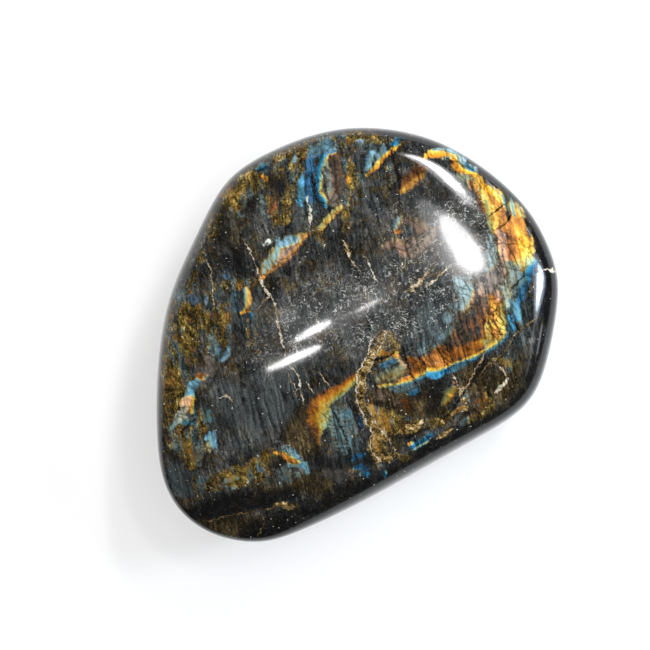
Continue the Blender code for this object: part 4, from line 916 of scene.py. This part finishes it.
def flowing(points):
    """A smooth line through the given points, with their half-widths carried along."""
    rows = np.array(points, dtype=float)
    padded = np.vstack([2 * rows[0] - rows[1], rows, 2 * rows[-1] - rows[-2]])
    line = []
    for before, start, end, after in zip(padded, padded[1:], padded[2:], padded[3:]):
        for t in np.arange(LINE_STEPS) / LINE_STEPS:
            bend = (2 * before - 5 * start + 4 * end - after) * t**2
            twist = (3 * start - before - 3 * end + after) * t**3
            line.append(0.5 * (2 * start + (end - before) * t + bend + twist))
    line.append(rows[-1])
    return np.array(line)


def beside(places, points):
    """How far each place is from a line, positive on the line's left, and the line's half-width there."""
    line = flowing(points)
    nearest = np.full(len(places), np.inf)
    side, width = np.ones(len(places)), np.zeros(len(places))
    for start, end in zip(line, line[1:]):
        run = end[:2] - start[:2]
        offset = places - start[:2]
        along = np.clip(offset @ run / (run @ run), 0.0, 1.0)
        gap = np.hypot(*(offset - along[:, None] * run).T)
        closer = gap < nearest
        nearest = np.where(closer, gap, nearest)
        side = np.where(closer, np.sign(run[0] * offset[:, 1] - run[1] * offset[:, 0]), side)
        width = np.where(closer, start[2] + along * (end[2] - start[2]), width)
    return nearest * side, width


def painted_flashes(places, flashes):
    """Cover, hue, glow and milkiness of the flashes at each place."""
    cover, hue = np.zeros(len(places)), np.full(len(places), RUST)
    glow, pale = np.full(len(places), 0.5), np.zeros(len(places))
    for flash in flashes:
        distance, width = beside(places, flash.line)
        spread = flash.soft * (EDGE_SPREAD + WIDE_SPREAD * width)
        inside = np.clip(0.5 + (width - np.abs(distance)) / spread, 0.0, 1.0)
        across = np.clip(0.5 + 0.5 * distance / np.maximum(width, THINNEST_FLASH), 0.0, 1.0)
        fresh = (inside > 0) * (1 - smooth_share(0.0, LITTLE_COVER, cover))
        share = np.maximum(smooth_share(*HUE_EDGES, inside), fresh)
        cover = np.maximum(cover, inside * flash.full)
        hue += share * (flash.right + across * (flash.left - flash.right) - hue)
        glow += share * (flash.glow - glow)
        pale += share * (flash.pale - pale)
    return np.stack([cover, hue, glow, pale], axis=1)


def painted_zone(places, zones):
    """How far each place belongs to a kind of zone."""
    share = np.zeros(len(places))
    for zone in zones:
        distance, width = beside(places, zone.line)
        inside = 1 - smooth_share(*ZONE_FADE, np.abs(distance) / width)
        share = np.maximum(share, zone.amount * inside)
    return share


def painted_veins(places, veins):
    """The distance from the nearest vein of one layer, its half-width, and its tone."""
    nearest = np.full(len(places), VEIN_REACH)
    width, tone = np.full(len(places), NO_VEIN), np.full(len(places), 0.5)
    fade_start, fade_end = (VEIN_REACH * share for share in VEIN_FADE)
    for vein in veins:
        distance, half_width = beside(places, vein.line)
        closer = np.abs(distance) < np.abs(nearest)
        fading = smooth_share(fade_start, fade_end, np.abs(distance))
        nearest = np.where(closer, distance, nearest)
        width = np.where(closer, half_width + fading * (NO_VEIN - half_width), width)
        tone = np.where(closer, vein.tone, tone)
    return np.stack([nearest, width, tone], axis=1)


def as_seen(places):
    """Where the camera sees each place of the face, on the level of the stone's widest line."""
    axis = np.array(CAMERA_PLACE[:2])
    nearer = (CAMERA_PLACE[2] - GIRTH_HEIGHT) / (CAMERA_PLACE[2] - places[:, 2:])
    return axis + (places[:, :2] - axis) * nearer


def keep_marks(stone, name, values):
    """Stores four numbers for each corner point of the mesh."""
    layer = stone.data.attributes.new(name, "FLOAT_COLOR", "POINT")
    rows = np.ones((len(values), 4), dtype=np.float32)
    rows[:, :values.shape[1]] = values
    layer.data.foreach_set("color", rows.ravel())


def paint_marks(stone):
    """Draws the flashes, zones and veins of the face and of the back into the mesh."""
    count = len(stone.data.vertices)
    places = np.empty(count * 3)
    stone.data.vertices.foreach_get("co", places)
    places = places.reshape(count, 3) / MM
    face_share = smooth_share(BACK_REACH, FACE_REACH, places[:, 2])[:, None]
    face, back = as_seen(places), places[:, :2]
    flashes = painted_flashes(face, FACE_FLASHES), painted_flashes(back, BACK_FLASHES)
    keep_marks(stone, "flashes", flashes[1] + face_share * (flashes[0] - flashes[1]))
    for name, kinds in ZONES.items():
        zones = np.stack([painted_zone(face, on_face) for on_face, _ in kinds], axis=1)
        back_zones = np.stack([painted_zone(back, on_back) for _, on_back in kinds], axis=1)
        keep_marks(stone, name, back_zones + face_share * (zones - back_zones))
    for name, layer, back_layer in zip(VEIN_LAYERS, FACE_VEINS, BACK_VEINS):
        veins = painted_veins(face, layer), painted_veins(back, back_layer)
        keep_marks(stone, name, np.where(face_share > 0.5, veins[0], veins[1]))


class Surface:
    """A material written as sums: each call adds a node and gives back what comes out of it."""

    def __init__(self, name):
        self.material = bpy.data.materials.new(name)
        self.material.use_nodes = True
        self.tree = self.material.node_tree
        self.shader = self.tree.nodes["Principled BSDF"]

    def put(self, kind, inputs, output=0, **settings):
        node = self.tree.nodes.new(kind)
        for setting, value in settings.items():
            setattr(node, setting, value)
        for socket, value in inputs.items():
            self.feed(node, socket, value)
        return node.outputs[output]

    def feed(self, node, socket, value):
        if isinstance(value, bpy.types.NodeSocket):
            self.tree.links.new(value, node.inputs[socket])
        else:
            node.inputs[socket].default_value = value

    def maths(self, operation, *values):
        return self.put("ShaderNodeMath", dict(enumerate(values)), operation=operation)

    def plus(self, *values):
        total = values[0]
        for value in values[1:]:
            total = self.maths("ADD", total, value)
        return total

    def times(self, *values):
        total = values[0]
        for value in values[1:]:
            total = self.maths("MULTIPLY", total, value)
        return total

    def between(self, value, low, high, start=0.0, end=1.0):
        """An easy curve from start to end as the value goes from low to high."""
        inputs = {"Value": value, "From Min": low, "From Max": high, "To Min": start, "To Max": end}
        return self.put("ShaderNodeMapRange", inputs, interpolation_type="SMOOTHSTEP")

    def wave(self, value, amount):
        """A noise value made to swing about 0 by the amount."""
        return self.maths("MULTIPLY_ADD", value, 2 * amount, -amount)

    def mix(self, share, under, over):
        return self.put("ShaderNodeMix", {0: share, 6: under, 7: over}, 2, data_type="RGBA")

    def scaled(self, colour, amount):
        """A colour made brighter or darker."""
        return self.put("ShaderNodeVectorMath", {0: colour, "Scale": amount}, operation="SCALE")

    def ramp(self, value, stops):
        out = self.put("ShaderNodeValToRGB", {"Fac": value})
        elements = out.node.color_ramp.elements
        while len(elements) < len(stops):
            elements.new(1.0)
        for element, (place, colour) in zip(elements, stops):
            element.position = place
            element.color = (*colour, 1.0)
        return out

    def noise(self, place, size, detail=2.0, roughness=0.5, swirl=0.0):
        inputs = {"Vector": place, "Scale": 1 / size, "Detail": detail, "Roughness": roughness,
                  "Distortion": swirl}
        return self.put("ShaderNodeTexNoise", inputs)

    def cells(self, place, size, output="Distance", **settings):
        return self.put("ShaderNodeTexVoronoi", {"Vector": place, "Scale": 1 / size}, output, **settings)

    def marks(self, name):
        """The numbers painted into the mesh under a name."""
        colour = self.put("ShaderNodeAttribute", {}, "Color", attribute_name=name)
        red, green, blue = self.put("ShaderNodeSeparateColor", {"Color": colour}).node.outputs
        return red, green, blue, colour.node.outputs["Alpha"]

    def millimetres(self):
        place = self.put("ShaderNodeTexCoord", {}, "Object")
        return self.put("ShaderNodeVectorMath", {0: place, "Scale": 1 / MM}, operation="SCALE")

    def turned(self, place, angles, scale):
        """The place turned by angles in degrees and then stretched, for a grain that runs one way."""
        turn = [math.radians(angle) for angle in angles]
        flat = self.put("ShaderNodeMapping", {"Vector": place, "Rotation": turn})
        return self.put("ShaderNodeMapping", {"Vector": flat, "Scale": scale})

    def warped(self, place, size, amount):
        """The place pushed about by a noise, so that straight cells turn ragged."""
        inputs = {"Vector": place, "Scale": 1 / size, "Detail": 2.0}
        push = self.put("ShaderNodeTexNoise", inputs, "Color")
        centred = self.put("ShaderNodeVectorMath", {0: push, 1: (0.5, 0.5, 0.5)}, operation="SUBTRACT")
        pushed = self.put("ShaderNodeVectorMath", {0: centred, "Scale": 2 * amount}, operation="SCALE")
        return self.put("ShaderNodeVectorMath", {0: place, 1: pushed}, operation="ADD")

    def hairs(self, place, size, fineness, swirl=0.0):
        """Thin curling lines, where a noise crosses its middle."""
        gap = self.maths("ABSOLUTE", self.maths("SUBTRACT", self.noise(place, size, 1.0, 0.5, swirl), 0.5))
        return self.between(gap, 0.0, fineness, 1.0, 0.0)

    def flecks(self, place, size, share, reach, edge=0.05):
        """Small grains in some of the cells: where they are, and a number that differs from cell to cell."""
        dots = self.cells(place, size)
        pick, level, _ = self.put("ShaderNodeSeparateColor",
                                  {"Color": self.cells(place, size, "Color")}).node.outputs
        radius = self.between(pick, 1 - share, 1 - 0.5 * share, 0.0, reach)
        return self.between(self.maths("SUBTRACT", radius, dots), 0.0, edge), level


class Stone:
    """The patterns that the layers of the stone share, all in millimetres."""

    def __init__(self, paint):
        self.paint = paint
        self.place = paint.millimetres()
        self.ragged = paint.warped(self.place, *RAGGED)
        self.rough = paint.warped(self.place, *ROUGH)
        self.twins = paint.turned(paint.warped(self.place, *TWIN_WARP), TWIN_TURN, TWIN_STRETCH)
        self.streaks = paint.turned(self.place, TWIN_TURN, STREAK_STRETCH)
        self.clouds = paint.noise(self.place, *CLOUDS)
        self.drift = paint.noise(self.place, *DRIFT)
        self.lines = paint.noise(self.twins, *LINES)
        self.dashes = paint.noise(self.streaks, *DASHES)
        self.grain = paint.noise(self.place, *GRAIN)


def stone_body(paint, stone):
    """The dark stone between the flashes: grey-black, slate, brown and mottled gold, with painted rim shade and
    sheen.
    """
    gold, slab, black, painted_sheen = paint.marks("zones")
    brown, crust, teal, _ = paint.marks("tints")
    tone = paint.plus(0.5, paint.wave(stone.clouds, 0.6), paint.wave(stone.lines, 0.42),
                      paint.wave(stone.dashes, 0.6), paint.wave(stone.grain, 0.45))
    body = paint.ramp(tone, DARK_TONES)
    olive = paint.between(paint.noise(stone.place, *OLIVE_CLOUDS), 0.48, 0.60, 0.0, 0.8)
    body = paint.mix(olive, body, paint.ramp(tone, BROWN_TONES))
    lined = paint.plus(0.5, paint.wave(stone.lines, 1.1), paint.wave(stone.grain, 0.5),
                       paint.wave(stone.clouds, 0.3))
    body = paint.mix(paint.times(slab, 0.9), body, paint.ramp(lined, SLATE_TONES))
    body = paint.mix(paint.times(brown, 0.85), body, paint.ramp(tone, BROWN_TONES))
    teal_share = paint.times(teal, paint.between(stone.drift, 0.35, 0.6))
    body = paint.mix(teal_share, body, paint.ramp(lined, TEAL_TONES))
    for lean, size, reach, depth in SEAMS:
        leaning = paint.turned(stone.ragged, (0.0, 0.0, lean), SEAM_STRETCH)
        split = paint.cells(leaning, size, feature="DISTANCE_TO_EDGE")
        seam = paint.between(split, 0.0, reach, depth, 0.0)
        seen = paint.times(seam, paint.between(stone.drift, 0.42, 0.54))
        body = paint.mix(seen, body, BLACK)
    body = gold_mottle(paint, stone, body, gold, tone)
    # Dark patches of the stone, and painted shade along the rim.
    body = paint.mix(paint.times(black, paint.between(stone.drift, 0.3, 0.55, 0.75, 0.97)), body, BLACK)
    body = crusted(paint, stone, body, crust)
    return painted_sheen_layer(paint, stone, body, painted_sheen)


def gold_mottle(paint, stone, body, gold, tone):
    """Patches where the stone glints gold, with blue glimpses and dark gaps between them."""
    columns = paint.turned(stone.ragged, TWIN_TURN, COLUMN_STRETCH)
    blots = paint.noise(columns, *GOLD_BLOTS)
    amount = paint.plus(paint.times(gold, 0.85), paint.wave(stone.drift, 0.9), paint.wave(stone.dashes, 0.25))
    patchy = paint.times(paint.between(amount, 0.12, 0.75), paint.between(gold, 0.02, 0.3))
    glint = paint.plus(0.47, paint.wave(blots, 0.85), paint.wave(stone.dashes, 0.55),
                       paint.wave(stone.grain, 0.8))
    golden = paint.ramp(glint, GOLD_TONES)
    embers = paint.noise(stone.ragged, *EMBER_CLOUDS)
    golden = paint.mix(paint.between(embers, 0.54, 0.66, 0.0, 0.6), golden, paint.ramp(glint, EMBER_TONES))
    blue_gaps = paint.noise(stone.streaks, *BLUE_GAPS)
    blue_grey = paint.ramp(paint.plus(glint, 0.10), TEAL_TONES)
    golden = paint.mix(paint.between(blue_gaps, 0.50, 0.58, 0.0, 0.85), golden, blue_grey)
    return paint.mix(patchy, body, golden)


def crusted(paint, stone, body, crust):
    """Ropes of tan mineral that fill old breaks."""
    amount = paint.plus(paint.times(crust, 0.9), paint.wave(stone.drift, 1.2), paint.wave(stone.grain, 0.6))
    inside = paint.times(paint.between(amount, 0.3, 0.65), paint.between(crust, 0.02, 0.3))
    strands = paint.maths("MAXIMUM", paint.hairs(stone.ragged, 1.5, 0.05, 1.0),
                          paint.hairs(stone.rough, 1.0, 0.05, 0.6))
    rope = paint.plus(paint.times(strands, 0.42), 0.34, paint.wave(stone.grain, 0.3),
                      paint.wave(stone.drift, 1.1))
    skirt = paint.times(paint.between(crust, 0.02, 0.3), paint.between(stone.drift, 0.4, 0.55, 0.3, 0.85))
    body = paint.mix(skirt, body, BLACK)
    return paint.mix(inside, body, paint.ramp(rope, CRUST_TONES))


def painted_sheen_layer(paint, stone, body, painted_sheen):
    """Painted sheen: a pale grey and fine scratches, lit where the face mirrors the lamps, painted as
    reflections.
    """
    sheen_share = paint.times(painted_sheen, paint.between(stone.drift, 0.35, 0.65, 0.06, 0.30))
    body = paint.mix(sheen_share, body, PAINTED_SHEEN_GREY)
    for size, fineness, swirl, breaks in LIT_SCRATCH_LINES:
        curls = paint.hairs(stone.place, size, fineness, swirl)
        broken = paint.between(paint.noise(stone.place, breaks, 2.0), 0.50, 0.58)
        patchy = paint.between(paint.noise(stone.place, 3.2, 3.0), 0.40, 0.60, 0.35, 1.0)
        seen = paint.times(curls, broken, patchy, paint.between(painted_sheen, 0.0, 0.9, 0.05, 1.0))
        body = paint.mix(seen, body, LIT_SCRATCH_PALE)
    return body


def flash_layer(paint, stone, body):
    """The flashes of colour over the body, feathered and broken up by the twinned grain of the stone."""
    cover, hue, glow, pale = paint.marks("flashes")
    feather = paint.plus(paint.wave(stone.drift, 0.5), paint.wave(stone.lines, 0.45),
                         paint.wave(stone.grain, 0.15))
    edge = paint.plus(cover, paint.times(feather, paint.between(cover, 0.0, 0.4)))
    shape = paint.between(edge, 0.26, 0.74)
    hues = paint.plus(hue, paint.wave(stone.drift, 0.16), paint.wave(stone.lines, 0.14),
                      paint.wave(stone.grain, 0.06))
    colour = paint.ramp(hues, FLASH_TONES)
    colour = paint.mix(paint.times(pale, paint.between(stone.grain, 0.3, 0.6, 0.5, 1.0)), colour, MILK)
    blue = paint.between(hue, 0.64, 0.8)
    warm = paint.maths("SUBTRACT", 1.0, blue)
    lined = paint.plus(paint.times(warm, paint.between(stone.lines, 0.36, 0.6, 0.62, 1.12)),
                       paint.times(blue, paint.between(stone.lines, 0.42, 0.60, 0.2, 1.2),
                                   paint.between(stone.drift, 0.40, 0.60, 0.45, 1.2)))
    shine = paint.times(glow, lined, paint.between(stone.drift, 0.35, 0.62, 0.75, 1.12),
                        paint.between(stone.grain, 0.34, 0.62, 0.85, 1.1))
    for lean, stretch, size in CLEAVAGES:
        slats = paint.turned(stone.place, (0.0, 0.0, lean), (1.0, stretch, 1.0))
        breaks = paint.cells(paint.warped(slats, *CLEAVAGE_WARP), size, feature="DISTANCE_TO_EDGE")
        cracked = paint.times(paint.between(breaks, 0.0, 0.055, 1.0, 0.0),
                              paint.between(stone.clouds, 0.40, 0.52))
        shine = paint.times(shine, paint.maths("SUBTRACT", 1.0, paint.times(cracked, 0.6)))
    return paint.mix(shape, body, paint.scaled(colour, shine))


def vein_layer(paint, stone, under, name):
    """One layer of veins over what is under it."""
    distance, width, tone, _ = paint.marks(name)
    wander = paint.wave(paint.noise(stone.place, *VEIN_WANDER), 0.75)
    swell = paint.between(paint.noise(stone.place, *VEIN_BEADS), 0.36, 0.62, 0.25, VEIN_SWELL)
    gap = paint.maths("ABSOLUTE", paint.plus(distance, wander))
    inside = paint.maths("SUBTRACT", paint.times(width, swell), gap)
    under = paint.mix(paint.between(inside, -0.3, -0.06, 0.0, 0.6), under, BLACK)
    grained = paint.plus(tone, -0.02, paint.wave(stone.grain, 0.6), paint.wave(stone.drift, 0.5))
    shade = paint.ramp(grained, VEIN_TONES)
    return paint.mix(paint.between(inside, -0.08, 0.04, 0.0, 0.95), under, shade)


def speckled(paint, stone, under):
    """Pale grains painted as glints where pits catch the light, and dark pits that break the polish. Also gives
    where the pits are.
    """
    for lean, size, share, reach, stretch in GRAIN_GLINTS:
        slanted = paint.turned(stone.rough, (0.0, 0.0, lean), (1.0, stretch, 1.0))
        grains, level = paint.flecks(slanted, size, share, reach)
        seen = paint.times(grains, paint.between(level, 0.0, 1.0, 0.15, 0.85))
        under = paint.mix(seen, under, GRAIN_GLINT_PALE)
    along_grain = paint.turned(stone.place, (0.0, 0.0, TWIN_LEAN), FLECK_STRETCH)
    dark_flecks, _ = paint.flecks(along_grain, *DARK_FLECKS)
    pits, _ = paint.flecks(stone.rough, *PITS)
    dark = paint.maths("MAXIMUM", paint.times(dark_flecks, 0.7), pits)
    return paint.mix(dark, under, BLACK), pits


def polished_labradorite():
    """The stone's finish: the body, the flashes over it, the veins over those, and the grains on top."""
    paint = Surface("polished_labradorite")
    stone = Stone(paint)
    colour = stone_body(paint, stone)
    colour = flash_layer(paint, stone, colour)
    for name in VEIN_LAYERS:
        colour = vein_layer(paint, stone, colour, name)
    colour, pits = speckled(paint, stone, colour)
    paint.feed(paint.shader, "Base Color", colour)
    gloss = paint.between(stone.grain, 0.3, 0.7, *GLOSS)
    paint.feed(paint.shader, "Roughness", paint.plus(gloss, paint.times(pits, PIT_DULLNESS)))
    worn = paint.put("ShaderNodeBump", {"Height": pits, "Distance": PIT_DEPTH * MM}, invert=True)
    paint.feed(paint.shader, "Normal", worn)
    paint.shader.inputs["IOR"].default_value = POLISH_IOR
    return paint.material


def pale_floor():
    """The plain pale table top that the stone lies on."""
    bpy.ops.mesh.primitive_plane_add(size=FLOOR_SIZE)
    floor = bpy.context.object
    floor.name = "floor"
    paint = Surface("pale_floor")
    clouds = paint.noise(paint.millimetres(), FLOOR_CLOUD_SIZE, 2.0)
    paint.feed(paint.shader, "Base Color", paint.ramp(clouds, FLOOR_SHADES))
    paint.shader.inputs["Roughness"].default_value = FLOOR_ROUGHNESS
    paint.shader.inputs["Emission Color"].default_value = WHITE
    paint.shader.inputs["Emission Strength"].default_value = FLOOR_GLOW
    floor.data.materials.append(paint.material)


def studio_air():
    """Dark overhead, so that the face mirrors nothing bright, and pale at the horizon alone."""
    world = bpy.data.worlds.new("studio")
    bpy.context.scene.world = world
    world.use_nodes = True
    tree = world.node_tree
    background = tree.nodes["Background"]
    direction = tree.nodes.new("ShaderNodeTexCoord")
    parts = tree.nodes.new("ShaderNodeSeparateXYZ")
    ramp = tree.nodes.new("ShaderNodeValToRGB")
    tree.links.new(direction.outputs["Generated"], parts.inputs["Vector"])
    tree.links.new(parts.outputs["Z"], ramp.inputs["Fac"])
    tree.links.new(ramp.outputs["Color"], background.inputs["Color"])
    elements = ramp.color_ramp.elements
    elements[0].position, elements[0].color = 0.0, HORIZON_LIGHT
    elements[1].position, elements[1].color = HORIZON_RISE, OVERHEAD_LIGHT


def oval_lamp(name, start, end, width, strength, colour):
    """An oval lamp between two points that are given from the stone's crown, facing the crown."""
    middle = (start + end) / 2
    away = middle.normalized()
    along = end - start
    along = (along - along.dot(away) * away).normalized()
    data = bpy.data.lights.new(name, "AREA")
    data.shape = "ELLIPSE"
    data.size, data.size_y = (end - start).length * MM, width * MM
    data.energy = strength * math.pi * data.size * data.size_y * math.pi / 4
    data.color = colour
    lamp = bpy.data.objects.new(name, data)
    bpy.context.scene.collection.objects.link(lamp)
    lamp.location = (Vector((0, 0, CROWN_HEIGHT)) + middle) * MM
    lamp.rotation_mode = "QUATERNION"
    lamp.rotation_quaternion = Matrix((along, away.cross(along), away)).transposed().to_quaternion()
    lamp.visible_camera = False


def soft_lamp(lamp):
    """A lamp that fades at its rim. Each oval reaches from a point of its path to the next but one."""
    points = [Vector((right, away, 1.0)).normalized() * LAMP_DISTANCE for right, away, _ in lamp.path]
    reach = min(2, len(points) - 1)
    for k in range(len(points) - reach):
        start, end = points[k], points[k + reach]
        width = lamp.path[k + 1][2]
        for wider, share in lamp.rims:
            extra = (end - start).normalized() * width * (wider - 1) / 2
            strength = lamp.strength * share
            oval_lamp(lamp.name, start - extra, end + extra, width * wider, strength, lamp.colour)


def fill_light():
    """Light from a wide ceiling that the polish doesn't mirror."""
    data = bpy.data.lights.new("ceiling", "AREA")
    data.size = CEILING_SIZE * MM
    data.energy = CEILING_STRENGTH * math.pi * data.size**2
    ceiling = bpy.data.objects.new("ceiling", data)
    bpy.context.scene.collection.objects.link(ceiling)
    ceiling.location = (0, 0, CEILING_HEIGHT * MM)
    ceiling.visible_camera = False
    ceiling.visible_glossy = False


def camera_overhead():
    """The camera looks straight down, and the picture is as wide as named where the stone is widest."""
    data = bpy.data.cameras.new("camera")
    camera = bpy.data.objects.new("camera", data)
    bpy.context.scene.collection.objects.link(camera)
    camera.location = Vector(CAMERA_PLACE) * MM
    data.sensor_width = SENSOR_WIDTH
    data.lens = SENSOR_WIDTH * (CAMERA_PLACE[2] - GIRTH_HEIGHT) / VIEW_WIDTH
    data.clip_start = CLIP_START
    data.clip_end = CLIP_END
    bpy.context.scene.camera = camera


def main():
    stone = shaped_stone()
    paint_marks(stone)
    stone.data.materials.append(polished_labradorite())
    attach(stone, "root")
    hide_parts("stone")
    pale_floor()
    studio_air()
    for lamp in LAMPS:
        soft_lamp(lamp)
    fill_light()
    camera_overhead()
    bpy.context.scene.view_settings.view_transform = "Standard"


main()
